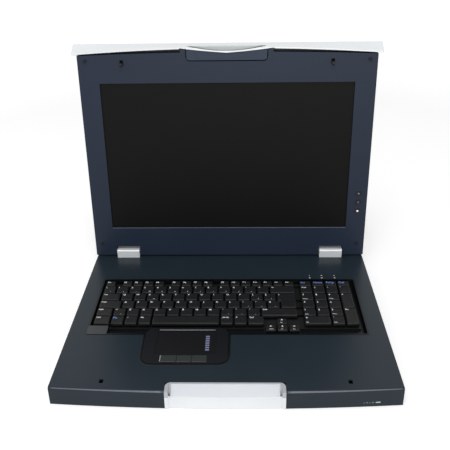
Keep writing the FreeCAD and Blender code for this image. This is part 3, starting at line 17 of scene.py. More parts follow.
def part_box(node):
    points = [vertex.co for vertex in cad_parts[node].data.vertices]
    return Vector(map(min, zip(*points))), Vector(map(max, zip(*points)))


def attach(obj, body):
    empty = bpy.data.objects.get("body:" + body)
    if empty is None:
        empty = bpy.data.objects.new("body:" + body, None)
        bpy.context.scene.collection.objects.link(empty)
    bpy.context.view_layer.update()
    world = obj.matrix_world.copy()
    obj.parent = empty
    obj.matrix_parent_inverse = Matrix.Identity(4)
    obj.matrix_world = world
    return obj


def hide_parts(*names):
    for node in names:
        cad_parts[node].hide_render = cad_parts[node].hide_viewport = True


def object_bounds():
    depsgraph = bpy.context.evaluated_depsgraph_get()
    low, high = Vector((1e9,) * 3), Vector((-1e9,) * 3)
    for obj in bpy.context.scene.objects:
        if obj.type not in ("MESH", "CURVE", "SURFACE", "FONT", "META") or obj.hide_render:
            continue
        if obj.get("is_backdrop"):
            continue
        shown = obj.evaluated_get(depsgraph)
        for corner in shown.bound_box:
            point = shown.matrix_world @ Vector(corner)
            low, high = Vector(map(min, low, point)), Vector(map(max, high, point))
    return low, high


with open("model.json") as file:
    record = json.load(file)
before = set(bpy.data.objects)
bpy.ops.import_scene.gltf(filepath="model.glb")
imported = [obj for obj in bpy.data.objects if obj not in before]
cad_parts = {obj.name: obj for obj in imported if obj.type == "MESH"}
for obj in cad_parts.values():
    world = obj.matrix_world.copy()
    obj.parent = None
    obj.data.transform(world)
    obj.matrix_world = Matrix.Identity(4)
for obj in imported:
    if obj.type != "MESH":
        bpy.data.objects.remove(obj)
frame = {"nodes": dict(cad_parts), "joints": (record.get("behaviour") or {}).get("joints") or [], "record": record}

cad_low, cad_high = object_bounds()
nodes = frame["nodes"]
MM = 0.001


def box_of(node):
    """The lowest and highest corners of a node at rest, as two arrays."""
    return [np.array(corner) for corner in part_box(node)]


def points_of(mesh):
    """A mesh's vertices as one array, a row each."""
    points = np.zeros(len(mesh.vertices) * 3)
    mesh.vertices.foreach_get("co", points)
    return points.reshape(-1, 3)


print("model box in mm", [round(v / MM, 1) for v in cad_high - cad_low])

# %% [markdown]
# ## Shared effects
# Moulded plastic, paint and plated steel all have a fine relief and a slow drift of tone. Both could
# be drawn again in every material, but a shader node group made once keeps them alike. It reads
# object coordinates, which are metres here, so a noise scale is a number of waves to the metre.

# %% Node helpers
def set_sockets(node, **values):
    """Gives a node's sockets their values by name, with _ for a space."""
    for socket, value in values.items():
        node.inputs[socket.replace("_", " ")].default_value = value
    return node


def put(tree, kind, setting=None, **values):
    """A new shader node: a setting is an (attribute, value) pair, and the values go to its sockets."""
    node = tree.nodes.new("ShaderNode" + kind)
    if setting:
        setattr(node, *setting)
    return set_sockets(node, **values)


def new_group(name, inputs, outputs):
    """A shader node group with its inputs, as name: default, and its outputs, as name: kind."""
    group = bpy.data.node_groups.new(name, "ShaderNodeTree")
    for label, default in inputs.items():
        socket = group.interface.new_socket(name=label, in_out="INPUT", socket_type="NodeSocketFloat")
        socket.default_value = default
    for label, kind in outputs.items():
        group.interface.new_socket(name=label, in_out="OUTPUT", socket_type=kind)
    return group, group.nodes.new("NodeGroupInput"), group.nodes.new("NodeGroupOutput")


# %% Relief group: fine bump and slow mottle
def relief_group():
    """Bump from noise at the grain's own size, and a second, slow noise for tone."""
    group, given, result = new_group(
        "Relief", {"Grain": 1500.0, "Depth": 0.00002, "Drift": 14.0},
        {"Normal": "NodeSocketVector", "Mottle": "NodeSocketFloat"})
    place = put(group, "TexCoord")
    fine = put(group, "TexNoise", Detail=2.0)
    slow = put(group, "TexNoise", Detail=4.0)
    bump = put(group, "Bump")
    link = group.links.new
    link(place.outputs["Object"], fine.inputs["Vector"])
    link(place.outputs["Object"], slow.inputs["Vector"])
    link(given.outputs["Grain"], fine.inputs["Scale"])
    link(given.outputs["Drift"], slow.inputs["Scale"])
    link(fine.outputs["Fac"], bump.inputs["Height"])
    link(given.outputs["Depth"], bump.inputs["Distance"])
    link(bump.outputs["Normal"], result.inputs["Normal"])
    link(slow.outputs["Fac"], result.inputs["Mottle"])
    return group


# %% Brushed group: streaks along the steel
def brushed_group():
    """Streaks along one axis: noise on coordinates squeezed along the brushing direction."""
    group, given, result = new_group(
        "Brushed", {"Across": 1800.0, "Along": 12.0},
        {"Normal": "NodeSocketVector", "Streak": "NodeSocketFloat"})
    place = put(group, "TexCoord")
    stretch = put(group, "CombineXYZ")
    squeezed = put(group, "VectorMath", ("operation", "MULTIPLY"))
    noise = put(group, "TexNoise", Scale=1.0, Detail=3.0)
    bump = put(group, "Bump", Distance=0.00001)
    link = group.links.new
    link(given.outputs["Across"], stretch.inputs["X"])
    link(given.outputs["Along"], stretch.inputs["Y"])
    link(given.outputs["Across"], stretch.inputs["Z"])
    link(place.outputs["Object"], squeezed.inputs[0])
    link(stretch.outputs["Vector"], squeezed.inputs[1])
    link(squeezed.outputs["Vector"], noise.inputs["Vector"])
    link(noise.outputs["Fac"], bump.inputs["Height"])
    link(bump.outputs["Normal"], result.inputs["Normal"])
    link(noise.outputs["Fac"], result.inputs["Streak"])
    return group


RELIEF = relief_group()
BRUSHED = brushed_group()
print("effects", RELIEF.name, BRUSHED.name)

# %% [markdown]
# ## Finishes
# The drawer is dark moulded plastic, painted and bare steel, and silver-coated trim. A flat colour
# would look like paper, so each finish is a Principled shader whose normal comes from the relief
# group, and whose colour and roughness move a little each way with the slow mottle. Colours are
# written as everyday 0 to 255 values and turned into the linear values that light works in.

# %% Finish helpers
def linear(red, green, blue):
    """The linear colour of an everyday 0-255 one, by the sRGB curve."""
    value = np.array([red, green, blue]) / 255.0
    curve = np.where(value <= 0.04045, value / 12.92, ((value + 0.055) / 1.055) ** 2.4)
    return (*curve.tolist(), 1.0)


def new_finish(name):
    """An empty material with its Principled shader."""
    material = bpy.data.materials.new(name)
    material.use_nodes = True
    return material, material.node_tree, material.node_tree.nodes["Principled BSDF"]


def tone(tree, shader, driver, colour, spread, rough, rough_spread):
    """The driver, 0 to 1, moves colour and roughness evenly about their middle values."""
    darker = (*(c * (1 - spread) for c in colour[:3]), 1.0)
    lighter = (*(min(1.0, c * (1 + spread)) for c in colour[:3]), 1.0)
    mix = put(tree, "Mix", ("data_type", "RGBA"), A=darker, B=lighter)
    ranged = put(tree, "MapRange", To_Min=rough - rough_spread, To_Max=rough + rough_spread)
    tree.links.new(driver, mix.inputs["Factor"])
    tree.links.new(driver, ranged.inputs["Value"])
    tree.links.new(mix.outputs["Result"], shader.inputs["Base Color"])
    tree.links.new(ranged.outputs["Result"], shader.inputs["Roughness"])


def moulded(name, colour, rough=0.45, grain=1500.0, depth=0.00002, spread=0.08, metallic=0.0,
            specular=0.5):
    """A moulded or painted skin with fine relief."""
    material, tree, shader = new_finish(name)
    relief = put(tree, "Group", ("node_tree", RELIEF), Grain=grain, Depth=depth)
    tone(tree, shader, relief.outputs["Mottle"], colour, spread, rough, rough_spread=0.06)
    tree.links.new(relief.outputs["Normal"], shader.inputs["Normal"])
    set_sockets(shader, Metallic=metallic, Specular_IOR_Level=specular)
    return material


def brushed(name, colour, rough=0.32, spread=0.12):
    """Plated sheet steel, drawn lengthwise."""
    material, tree, shader = new_finish(name)
    streaks = put(tree, "Group", ("node_tree", BRUSHED))
    tone(tree, shader, streaks.outputs["Streak"], colour, spread, rough, rough_spread=0.08)
    tree.links.new(streaks.outputs["Normal"], shader.inputs["Normal"])
    set_sockets(shader, Metallic=1.0)
    return material


def board_finish(name):
    """Green circuit board: darker tracks drawn by a brick pattern of very long bricks."""
    material, tree, shader = new_finish(name)
    place = put(tree, "TexCoord")
    tracks = put(tree, "TexBrick", Scale=140.0, Mortar_Size=0.06, Color1=linear(26, 92, 52),
                 Color2=linear(30, 104, 58), Mortar=linear(18, 66, 40))
    tree.links.new(place.outputs["Object"], tracks.inputs["Vector"])
    tree.links.new(tracks.outputs["Color"], shader.inputs["Base Color"])
    set_sockets(shader, Roughness=0.35)
    return material


# Used below to paint shade: the keyboard surround is darker below its top face, and the handle darker above its
# crest.
def two_levels(name, low_colour, high_colour, level, metallic=0.0):
    """A moulding that is one colour below a height in the model's frame and another above it."""
    material = moulded(name, low_colour, rough=0.34, specular=0.3, metallic=metallic)
    tree = material.node_tree
    base = tree.nodes["Principled BSDF"].inputs["Base Color"]
    under = base.links[0].from_socket
    place = put(tree, "TexCoord")
    split = put(tree, "SeparateXYZ")
    above = put(tree, "Math", ("operation", "GREATER_THAN"))
    above.inputs[1].default_value = level
    mix = put(tree, "Mix", ("data_type", "RGBA"), B=high_colour)
    tree.links.new(place.outputs["Object"], split.inputs["Vector"])
    tree.links.new(split.outputs["Z"], above.inputs[0])
    tree.links.new(above.outputs["Value"], mix.inputs["Factor"])
    tree.links.new(under, mix.inputs["A"])
    tree.links.new(mix.outputs["Result"], base)
    return material


# %% The finishes of this drawer
HOUSING_TOP_SKIN = 0.15 * MM
HANDLE_SHADE_DROP = 8.4 * MM
HOUSING_LEVEL = box_of("keyboard_frame")[1][2] - HOUSING_TOP_SKIN
HANDLE_SHADE_LEVEL = box_of("handle")[1][2] - HANDLE_SHADE_DROP
finishes = {
    "deck": moulded("Deck moulding", linear(33, 43, 51), rough=0.32, spread=0.06, specular=0.2),
    # Surround: darker in its walls and recess below the top face, which is painted shade.
    "surround": two_levels("Keyboard surround with painted shade", linear(9, 10, 13), linear(18, 20, 24), HOUSING_LEVEL),
    "bezel": moulded("Bezel moulding", linear(32, 41, 57), rough=0.36, spread=0.09, specular=0.2),
    "paddle": moulded("Paddle moulding", linear(46, 56, 72), rough=0.4, spread=0.09, specular=0.22),
    # Handle: the scoop above the crest is a darker silver, which is painted shade; the front face below it is the
    # plain silver.
    "handle": two_levels("Handle silver with painted shade", linear(232, 235, 238), linear(184, 187, 192), HANDLE_SHADE_LEVEL, 0.2),
    "silver": moulded("Silver coat", linear(224, 227, 229), rough=0.34, grain=4200.0, depth=0.000006,
                      spread=0.03, metallic=0.2),
    "paint": moulded("Dark paint", linear(38, 44, 50), rough=0.42, grain=900.0, depth=0.00001),
    "key": moulded("Key caps", linear(22, 23, 24), rough=0.5, grain=2600.0, depth=0.00001,
                   specular=0.28),
    "pad button": moulded("Pad buttons", linear(45, 49, 49), rough=0.42, specular=0.3),
    "pad": moulded("Touchpad face", linear(7, 8, 12), rough=0.55, grain=5000.0, specular=0.2),
    "corner": moulded("Corner block", linear(54, 57, 60), rough=0.4, specular=0.3),
    "ridge": moulded("Ridge highlight", linear(84, 88, 90), rough=0.35, depth=0.0),
    "edge highlight": moulded("Painted edge highlight", linear(88, 94, 106), rough=0.28, depth=0.0),
    "ladder": moulded("Scroll marks", linear(118, 120, 150), rough=0.5, depth=0.0),
    "lip": moulded("Screen lip", linear(78, 86, 98), rough=0.3, depth=0.0),
    "edge light": moulded("Painted button edge highlight", linear(150, 152, 154), rough=0.35, depth=0.0),
    "tick": moulded("Status ticks", linear(104, 108, 114), rough=0.5, depth=0.0),
    "scoop": moulded("Painted scoop shade", linear(150, 154, 154), rough=0.3, depth=0.0, metallic=0.5),
    "cheek": moulded("Shaded silver", linear(172, 175, 178), rough=0.4, depth=0.0, metallic=0.2),
    "bright": moulded("Painted highlight and pale button tip", linear(246, 248, 250), rough=0.2, depth=0.0, spread=0.01),
    "black": moulded("Black moulding", linear(20, 21, 22), rough=0.5, specular=0.3),
    "glass": moulded("Dark screen", linear(12, 12, 11), rough=0.45, grain=600.0, depth=0.0000004,
                     spread=0.02, specular=0.1),
    "rubber": moulded("Bumper rubber", linear(26, 32, 40), rough=0.7, grain=3000.0, specular=0.2),
    "button": moulded("Monitor buttons and painted gap shade", linear(14, 15, 18), rough=0.4, specular=0.3),
    "lens": moulded("Light lenses", linear(188, 196, 190), rough=0.2, depth=0.0),
    "rail": brushed("Rail steel", linear(168, 170, 172)),
    "connector": brushed("Connector shells", linear(176, 178, 180), rough=0.25),
    "screw": brushed("Screw steel", linear(150, 152, 154), rough=0.28),
    "case": brushed("Supply case", linear(182, 184, 186), rough=0.4),
    "cage": brushed("Bearing strip", linear(178, 150, 92), rough=0.3),
    "board": board_finish("Circuit board"),
    "print": moulded("White print", linear(226, 228, 228), rough=0.5, depth=0.0, spread=0.03),
    "blue print": moulded("Blue print", linear(104, 130, 196), rough=0.5, depth=0.0, spread=0.03),
}

# %% Which node wears which finish
NOT_KEYS = ("keyboard_frame", "keyboard_boards", "key_guide_plate")
key_nodes = [name for name in nodes if name.startswith("key") and name not in NOT_KEYS]
worn_by = {
    "deck": ["tray_cover"],
    "surround": ["keyboard_frame"],
    "bezel": ["lid_bezel"],
    "paddle": ["latch_paddle"],
    "handle": ["handle"],
    "silver": ["front_panel", "hinge_cover_left", "hinge_cover_right"],
    "paint": ["tray_pan", "rear_cover", "lid_back_shell", "front_brackets", "rear_brackets"],
    "pad button": ["touchpad_button_left", "touchpad_button_middle", "touchpad_button_right"],
    "black": ["power_inlet", "key_guide_plate", "latch_bar"],
    "pad": ["touchpad_surface"],
    "glass": ["lcd_screen"],
    "rubber": ["lid_bumpers"],
    "button": ["osd_button_1", "osd_button_2", "osd_button_3"],
    "lens": ["indicator_lenses"],
    "rail": ["outer_rail_left", "outer_rail_right", "middle_rail_left", "middle_rail_right",
             "inner_rail_left", "inner_rail_right"],
    "connector": ["rear_connectors", "hinge_bases", "hinge_leaves"],
    "screw": ["bracket_screws", "drawer_screws", "rail_release_levers", "hinge_pins"],
    "case": ["power_supply", "lcd_support_rails", "lcd_module"],
    "cage": ["ball_cages_outer", "ball_cages_inner"],
    "board": ["controller_board", "keyboard_boards", "lid_driver_board", "osd_board"],
    "key": key_nodes,
}
for finish, names in worn_by.items():
    for name in names:
        nodes[name].data.materials.clear()
        nodes[name].data.materials.append(finishes[finish])
bare = sorted(set(nodes) - {name for names in worn_by.values() for name in names})
print("finishes", len(finishes), "nodes without one", bare)

# %% [markdown]
# ## Putting a surface into the scene
# Every new piece below could be modelled by hand or with operators, but is worked out as whole
# numpy arrays, points first and then faces by index, so that its size is exact and can be read.
# These helpers turn such arrays into an object that rides on its body, in the model's own frame.

# %% Object helpers
def body_with(node):
    """The name of the body that a CAD node belongs to."""
    bodies = frame["record"]["behaviour"]["bodies"]
    return next(name for name, members in bodies.items() if node in members)


def add_piece(name, shape, finish, body, smooth=True):
    """A mesh object from a (points, faces) pair, with its finish, body and material slot."""
    points, faces = shape
    mesh = bpy.data.meshes.new(name)
    mesh.from_pydata(points, [], faces)
    mesh.validate()
    mesh.materials.append(finishes[finish])
    if smooth:
        mesh.shade_smooth()
    piece = bpy.data.objects.new(name, mesh)
    bpy.context.collection.objects.link(piece)
    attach(piece, body)
    return piece


# %% Surface helpers
def join_arrays(parts):
    """Many (points, faces) pairs as one, with the face numbers moved along."""
    points = np.concatenate([part[0] for part in parts])
    starts = np.cumsum([0] + [len(part[0]) for part in parts[:-1]])
    faces = [[index + start for index in face]
             for part, start in zip(parts, starts) for face in part[1]]
    return points, faces


def closed_rings(rings):
    """Faces of a skin through (ring, point) arrays, with a centre point closing each end. The sum of
    a . (b x c) over its triangles is six times the volume, and where it is negative all faces turn."""
    count, around = rings.shape[:2]
    points = np.concatenate([rings.reshape(-1, 3), rings[:1].mean(1), rings[-1:].mean(1)])
    ring, step = np.meshgrid(np.arange(count - 1), np.arange(around), indexing="ij")
    a = ring * around + step
    b = ring * around + (step + 1) % around
    quads = np.stack([a, b, b + around, a + around], -1).reshape(-1, 4)
    step = np.arange(around)
    after = (step + 1) % around
    last = (count - 1) * around
    first_centre, last_centre = count * around, count * around + 1
    fans = np.concatenate([np.stack([after, step, np.full(around, first_centre)], -1),
                           np.stack([last + step, last + after, np.full(around, last_centre)], -1)])
    thirds = np.concatenate([quads[:, :3], quads[:, [0, 2, 3]], fans])
    a, b, c = (points[thirds[:, i]] - points[0] for i in range(3))
    if (a * np.cross(b, c)).sum() < 0:
        quads, fans = quads[:, ::-1], fans[:, ::-1]
    return points, quads.tolist() + fans.tolist()


def plate_arrays(outline, low, high, top_share=0.97):
    """A flat plate: a plan outline carried up from low to high, its top edge drawn in a little."""
    middle = outline.mean(0)
    rings = [np.column_stack([middle + (outline - middle) * share, np.full(len(outline), z)])
             for share, z in ((1.0, low), (1.0, (low + high) / 2), (top_share, high))]
    return closed_rings(np.array(rings))


def dome_arrays(centre, normal, radius, height, around=20, levels=5):
    """A low dome about a unit normal that is square to x: at angle t from its foot a ring of radius
    r cos t stands h sin t along the normal, up to 84 degrees, where a centre point closes it."""
    side = np.cross(normal, (1.0, 0.0, 0.0))
    other = np.cross(normal, side)
    turn = np.linspace(0, 2 * math.pi, around, endpoint=False)[None, :, None]
    rise = np.linspace(0, math.radians(84), levels)[:, None, None]
    circle = side * np.cos(turn) + other * np.sin(turn)
    return closed_rings(np.array(centre) + radius * np.cos(rise) * circle + height * np.sin(rise) * normal)


def strip_arrays(path, across, section, up=(0.0, 0.0, 1.0)):
    """A section of (sideways, up) points carried along a path: point = path + across s + up t."""
    rings = path[:, None, :] + across[:, None, :] * section[None, :, :1]
    rings = rings + np.array(up) * section[None, :, 1:]
    return closed_rings(rings)


def half_round(half_width, height, steps=7):
    """A low half-round section: s = -w cos t, up = h sin t, with a flat foot."""
    t = np.linspace(0, math.pi, steps)
    return np.column_stack([-half_width * np.cos(t), height * np.sin(t)])


# %% [markdown]
# ## Key caps
# A real cap is a thin moulding: sloping sides, a soft edge and a shallow dish in its top, so that a
# row of caps catches the light as a row of small hollows. The model's caps are plain flat-topped
# blocks. A subdivision surface on a box would do it, but a stack of rounded outlines gives
# the exact size, taper and dish, and costs few faces. A node holds a whole row of keys, so the
# first helper finds where each of its solids begins and ends.

# %% The solids of a key row
def solids_of(node):
    """The low and high corner of each separate solid in a node, back row first, left to right. Each
    triangle gives its three points the lowest of their labels, until no label changes."""
    mesh = nodes[node].data
    points = points_of(mesh)
    corners = np.zeros(len(mesh.loops), int)
    mesh.loops.foreach_get("vertex_index", corners)
    joined, place = np.unique(points.round(6), axis=0, return_inverse=True)
    place = place.reshape(-1)
    triangles = place[corners].reshape(-1, 3)
    labels = np.arange(len(joined))
    lowest = labels[triangles].min(1, keepdims=True)
    while (labels[triangles] != lowest).any():
        np.minimum.at(labels, triangles, lowest)
        lowest = labels[triangles].min(1, keepdims=True)
    solid = labels[place]
    members = [points[solid == label] for label in np.unique(solid)]
    boxes = [(member.min(0), member.max(0)) for member in members]
    return sorted(boxes, key=lambda box: (-round(box[1][1] / MM), box[0][0]))


# %% A cap on any right-angled outline
def rounded_outline(corners, radius, steps=4):
    """A closed right-angled outline with its corners rounded: at a corner c between the unit edges
    d1 and d2 the arc is c + r (d1 + d2) - r (d2 cos s + d1 sin s), for s from 0 to 90 degrees."""
    before = np.roll(corners, 1, 0) - corners
    after = np.roll(corners, -1, 0) - corners
    before /= np.linalg.norm(before, axis=1, keepdims=True)
    after /= np.linalg.norm(after, axis=1, keepdims=True)
    turn = np.linspace(0, math.pi / 2, steps)[None, :, None]
    centre = (corners + radius * (before + after))[:, None, :]
    arc = centre - radius * (after[:, None, :] * np.cos(turn) + before[:, None, :] * np.sin(turn))
    return arc.reshape(-1, 2)


def drawn_in(corners, side, front, back):
    """The outline moved inwards: each corner goes along its inward diagonal, front and back apart."""
    before = np.roll(corners, 1, 0) - corners
    after = np.roll(corners, -1, 0) - corners
    bend = np.sign(before[:, 1] * after[:, 0] - before[:, 0] * after[:, 1])
    inward = (np.sign(before.round(7)) + np.sign(after.round(7))) * bend[:, None]
    shift_y = np.where(inward[:, 1] > 0, front, -back)
    return corners + np.stack([inward[:, 0] * side, shift_y], 1)


CAP_HEIGHT = 5.0 * MM
CAP_CORNER = 1.1 * MM
TAPER_SIDE = 1.5 * MM
TAPER_FRONT = 1.6 * MM
TAPER_BACK = 1.1 * MM
EDGE = 0.55 * MM
SIDE_RINGS = ((0.0, CAP_HEIGHT), (0.72, EDGE * 1.6), (0.86, EDGE * 0.7), (1.0, EDGE * 0.2))
DISH = 0.35 * MM
DISH_RINGS = (0.8, 0.55, 0.28)
RIM_SHARE = 0.96
RIM_DROP = 0.02 * MM


def cap_arrays(corners, top):
    """A cap: side rings that taper upwards, a rounded edge, then a dish z = top - d (1 - f^2) where
    f is how far out towards the edge a point lies."""
    rings = []
    for share, drop in SIDE_RINGS:
        inner = drawn_in(corners, TAPER_SIDE * share, TAPER_FRONT * share, TAPER_BACK * share)
        outline = rounded_outline(inner, CAP_CORNER)
        rings.append(np.column_stack([outline, np.full(len(outline), top - drop)]))
    rim = rings[-1][:, :2]
    middle = (rim.min(0) + rim.max(0)) / 2
    drops = [(RIM_SHARE, RIM_DROP)] + [(f, DISH * (1 - f ** 2)) for f in DISH_RINGS]
    for f, drop in drops:
        flat = middle + (rim - middle) * f
        rings.append(np.column_stack([flat, np.full(len(rim), top - drop)]))
    return closed_rings(np.array(rings))


def box_corners(low, high):
    """The four corners of a box in plan, anticlockwise."""
    return np.array([(low[0], low[1]), (high[0], low[1]), (high[0], high[1]), (low[0], high[1])])


# %% Caps for every key
key_boxes = {name: solids_of(name) for name in key_nodes if name != "key_enter"}
for name, boxes in key_boxes.items():
    caps = [cap_arrays(box_corners(low, high), high[2]) for low, high in boxes]
    piece = add_piece("caps_" + name, join_arrays(caps), "key", body_with(name))
    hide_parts(name)
print("caps", sum(len(boxes) for boxes in key_boxes.values()))

# %% The stepped enter cap
KEY_PITCH = 19.05 * MM
ENTER_STEP = KEY_PITCH / 4
enter_low, enter_high = box_of("key_enter")
enter_half = (enter_low[1] + enter_high[1]) / 2
enter_left = enter_low[0] + ENTER_STEP
enter_corners = np.array([(enter_left, enter_low[1]), (enter_high[0], enter_low[1]),
                          (enter_high[0], enter_high[1]), (enter_low[0], enter_high[1]),
                          (enter_low[0], enter_half), (enter_left, enter_half)])
enter_shape = cap_arrays(enter_corners, enter_high[2])
enter_cap = add_piece("caps_key_enter", enter_shape, "key", body_with("key_enter"))
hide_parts("key_enter")
print("enter step in mm", round(ENTER_STEP / MM, 2))

# %% [markdown]
# ## Lettering
# Caps are printed in white at the upper left, with a second sign below on some, and the function
# marks in blue. A pattern in the material could draw it, but letters as meshes stay sharp up close.
# Text objects are made into meshes once per word and then laid over each cap by the dish's own
# formula, so the print follows the hollow.

# %% Words as flat meshes
LETTER = 3.3 * MM
TEXT_PER_CAPITAL = 1.38
STROKE = 0.045
INK = 0.02 * MM
word_store = {}


def word_arrays(word, size):
    """Points and triangles of a word whose capitals are as tall as size, lower left at the origin."""
    key = (word, round(size, 6))
    if key not in word_store:
        curve = bpy.data.curves.new("word", "FONT")
        curve.body = word
        curve.size = size * TEXT_PER_CAPITAL
        curve.resolution_u = 2
        curve.offset = size * STROKE
        curve.extrude = INK / 2
        holder = bpy.data.objects.new("word", curve)
        mesh = bpy.data.meshes.new_from_object(holder)
        mesh.calc_loop_triangles()
        triangles = np.zeros(len(mesh.loop_triangles) * 3, int)
        mesh.loop_triangles.foreach_get("vertices", triangles)
        points = points_of(mesh)
        points[:, :2] -= points[:, :2].min(0)
        word_store[key] = (points, triangles.reshape(-1, 3).tolist())
        bpy.data.objects.remove(holder)
        bpy.data.curves.remove(curve)
        bpy.data.meshes.remove(mesh)
    points, triangles = word_store[key]
    return points.copy(), triangles


PRINT_MARGIN = 1.0 * MM
ARROW_MARGIN = 1.2 * MM
ARROW = 3.2 * MM


def laid_on_cap(points, low, high):
    """Drops flat print onto the cap: z = top - d (1 - f^2) + the ink's thickness, f as for the cap."""
    rim_low = np.array([low[0] + TAPER_SIDE, low[1] + TAPER_FRONT])
    rim_high = np.array([high[0] - TAPER_SIDE, high[1] - TAPER_BACK])
    middle = (rim_low + rim_high) / 2
    f = (np.abs(points[:, :2] - middle) / (rim_high - middle)).max(1)
    points[:, 2] += high[2] - DISH * (1 - np.minimum(f, 1) ** 2) + INK
    return points


def printed(low, high, word, size=LETTER, across=0.0, down=0.0):
    """A word on a cap; across and down move it from the upper left corner, as shares of the top."""
    points, triangles = word_arrays(word, size)
    left = low[0] + TAPER_SIDE + PRINT_MARGIN
    back = high[1] - TAPER_BACK - PRINT_MARGIN
    width = high[0] - TAPER_SIDE - PRINT_MARGIN - left
    depth = back - (low[1] + TAPER_FRONT + PRINT_MARGIN)
    points[:, 0] *= min(1.0, width * (1 - across) / max(points[:, 0].max(), 1e-9))
    points[:, 0] += left + across * width
    points[:, 1] += back - points[:, 1].max() - down * (depth - points[:, 1].max())
    return laid_on_cap(points, low, high), triangles


def arrow_print(low, high, turn, centred=True):
    """An arrow: a triangle head and a bar, turned by quarter turns, centred or to the left."""
    flat = np.array([(0, 1), (1, 0), (0.35, 0), (0.35, -1), (-0.35, -1), (-0.35, 0), (-1, 0)])
    angle = turn * math.pi / 2
    spin = np.array([[math.cos(angle), -math.sin(angle)], [math.sin(angle), math.cos(angle)]])
    flat = (flat * ARROW / 2) @ spin.T
    x = (low[0] + high[0]) / 2 if centred else low[0] + TAPER_SIDE + PRINT_MARGIN + ARROW / 2
    flat += [x, high[1] - TAPER_BACK - ARROW_MARGIN - ARROW / 2]
    count = len(flat)
    lower = laid_on_cap(np.column_stack([flat, np.full(count, -INK / 2)]), low, high)
    upper = laid_on_cap(np.column_stack([flat, np.full(count, INK / 2)]), low, high)
    around = [[i, (i + 1) % count, (i + 1) % count + count, i + count] for i in range(count)]
    faces = [list(range(count))[::-1], [i + count for i in range(count)]] + around
    points = np.concatenate([lower, upper])
    if np.cross(flat[1] - flat[0], flat[2] - flat[1]) < 0:
        faces = [face[::-1] for face in faces]
    return points, faces


# %% What each row says
words = {
    "keys_function_row": ["Esc"] + ["F%d" % number for number in range(1, 13)] + ["Prt", "Scr", "Brk"],
    "keys_number_row": list("\\1234567890'^") + ["<-"],
    "keys_upper_row": ["Tab"] + list("QWERTYUIOP[]"),
    "keys_home_row": ["Caps"] + list("ASDFGHJKL;'#"),
    "keys_lower_row": ["Shift"] + list("<ZXCVBNM,.-") + ["Shift"],
    "keys_bottom_row": ["Ctrl", "Fn", "*", "Alt", "Alt Gr", "=", "Ctrl"],
    "keypad_top_keys": ["Ins", "Home", "PgUp", "Del", "Num", "/", "*", "-"],
    "keypad_digit_keys": list("789456123") + ["0", "."],
    "keypad_tall_keys": ["+", "Ent"],
}
second_signs = {
    "keys_number_row": list("|!\"@$%&/()=?") + [""] * 2,
    "keys_upper_row": [""] * 3 + ["E"] + [""] * 7 + list("{}"),
    "keys_home_row": [""] * 10 + [":", "\"", "~"],
    "keys_lower_row": ["", ">"] + [""] * 7 + [";", ":", "_", ""],
    "keypad_digit_keys": ["Home", "", "PgUp", "", "", "", "End", "", "PgDn", "Ins", "Del"],
}
blue_words = {"Fn", "Ins", "Home", "PgUp", "Del"}

# %% Printing the rows
BLUE_SIZE = 4.2 * MM
LONG_WORD_SIZE = 0.78 * LETTER
SIGN_SIZE = 0.6 * LETTER
SIGN_ACROSS = 0.62


def add_print(name, prints, finish, node):
    """One piece from many printed words or arrows, which rides on the node's body."""
    add_piece(name, join_arrays(prints), finish, body_with(node), smooth=False)


for name, row in words.items():
    plain, blue = [], []
    extra = second_signs.get(name, [""] * len(row))
    for (low, high), word, sign in zip(key_boxes[name], row, extra):
        if word in blue_words and name != "keypad_digit_keys":
            blue.append(printed(low, high, word, BLUE_SIZE))
        else:
            plain.append(printed(low, high, word, LONG_WORD_SIZE if len(word) > 2 else LETTER))
        if sign:
            across = SIGN_ACROSS if len(sign) < 2 else 0.0
            plain.append(printed(low, high, sign, SIGN_SIZE, across, down=1.0))
    add_print("print_" + name, plain, "print", name)
    if blue:
        add_print("print_blue_" + name, blue, "blue print", name)
print("printed rows", len(words), "words", len(word_store))

# %% Arrow keys and the enter sign
ARROW_WORD_SIZE = 0.5 * LETTER
ARROW_WORD_ACROSS = 0.3
arrow_words = ["Pg", "Home", "Dn", "End"]
arrow_boxes = key_boxes["keys_arrows"]
arrows = [arrow_print(low, high, turn) for turn, (low, high) in enumerate(arrow_boxes)]
arrows += [printed(low, high, word, ARROW_WORD_SIZE, ARROW_WORD_ACROSS, down=1.0)
           for (low, high), word in zip(arrow_boxes, arrow_words)]
add_print("print_arrows", arrows, "print", "keys_arrows")
enter_back_half = (np.array([enter_low[0], enter_half, enter_low[2]]), enter_high)
add_print("print_enter", [arrow_print(*enter_back_half, 1, centred=False)], "print", "key_enter")
print("arrows", len(arrow_boxes))

# %% [markdown]
# ## Touchpad trim
# The real pad sits in a rounded housing with a dark gap round its foot, a moulded ridge behind it, a
# printed ladder where a finger scrolls, and a left button with a pale edge. The gap's shade is painted
# as a dark strip on the deck, and the ridge and the button's pale edge are painted highlights. Bump in
# a material would not hold such edges, so a profile carried along a path gives the gap's shade and the
# ridge, and thin plates give the rest. Everything is placed from the pad's own box.

# %% Painted shade: a dark strip in the gap round the housing
HOUSING_PROUD = 0.8 * MM
HOUSING_LEFT = 16.4 * MM
HOUSING_RIGHT = 16.1 * MM
HOUSING_RADIUS = 14.0 * MM
PAD_TO_KEYS = 40.8 * MM
GAP_HALF = 1.5 * MM
GAP_PROUD = 0.18 * MM
pad_low, pad_high = box_of("touchpad_surface")
frame_low, frame_high = box_of("keyboard_frame")
housing_z = frame_high[2]
deck_z = housing_z - HOUSING_PROUD
keys_front = pad_low[1] + PAD_TO_KEYS
left, right = pad_low[0] - HOUSING_LEFT, pad_high[0] + HOUSING_RIGHT
turn = np.linspace(0, math.pi / 2, 9)
corner_left = np.column_stack([left + HOUSING_RADIUS * (1 - np.cos(turn)),
                               frame_low[1] + HOUSING_RADIUS * (1 - np.sin(turn))])
corner_right = np.column_stack([left + right - corner_left[::-1, 0], corner_left[::-1, 1]])
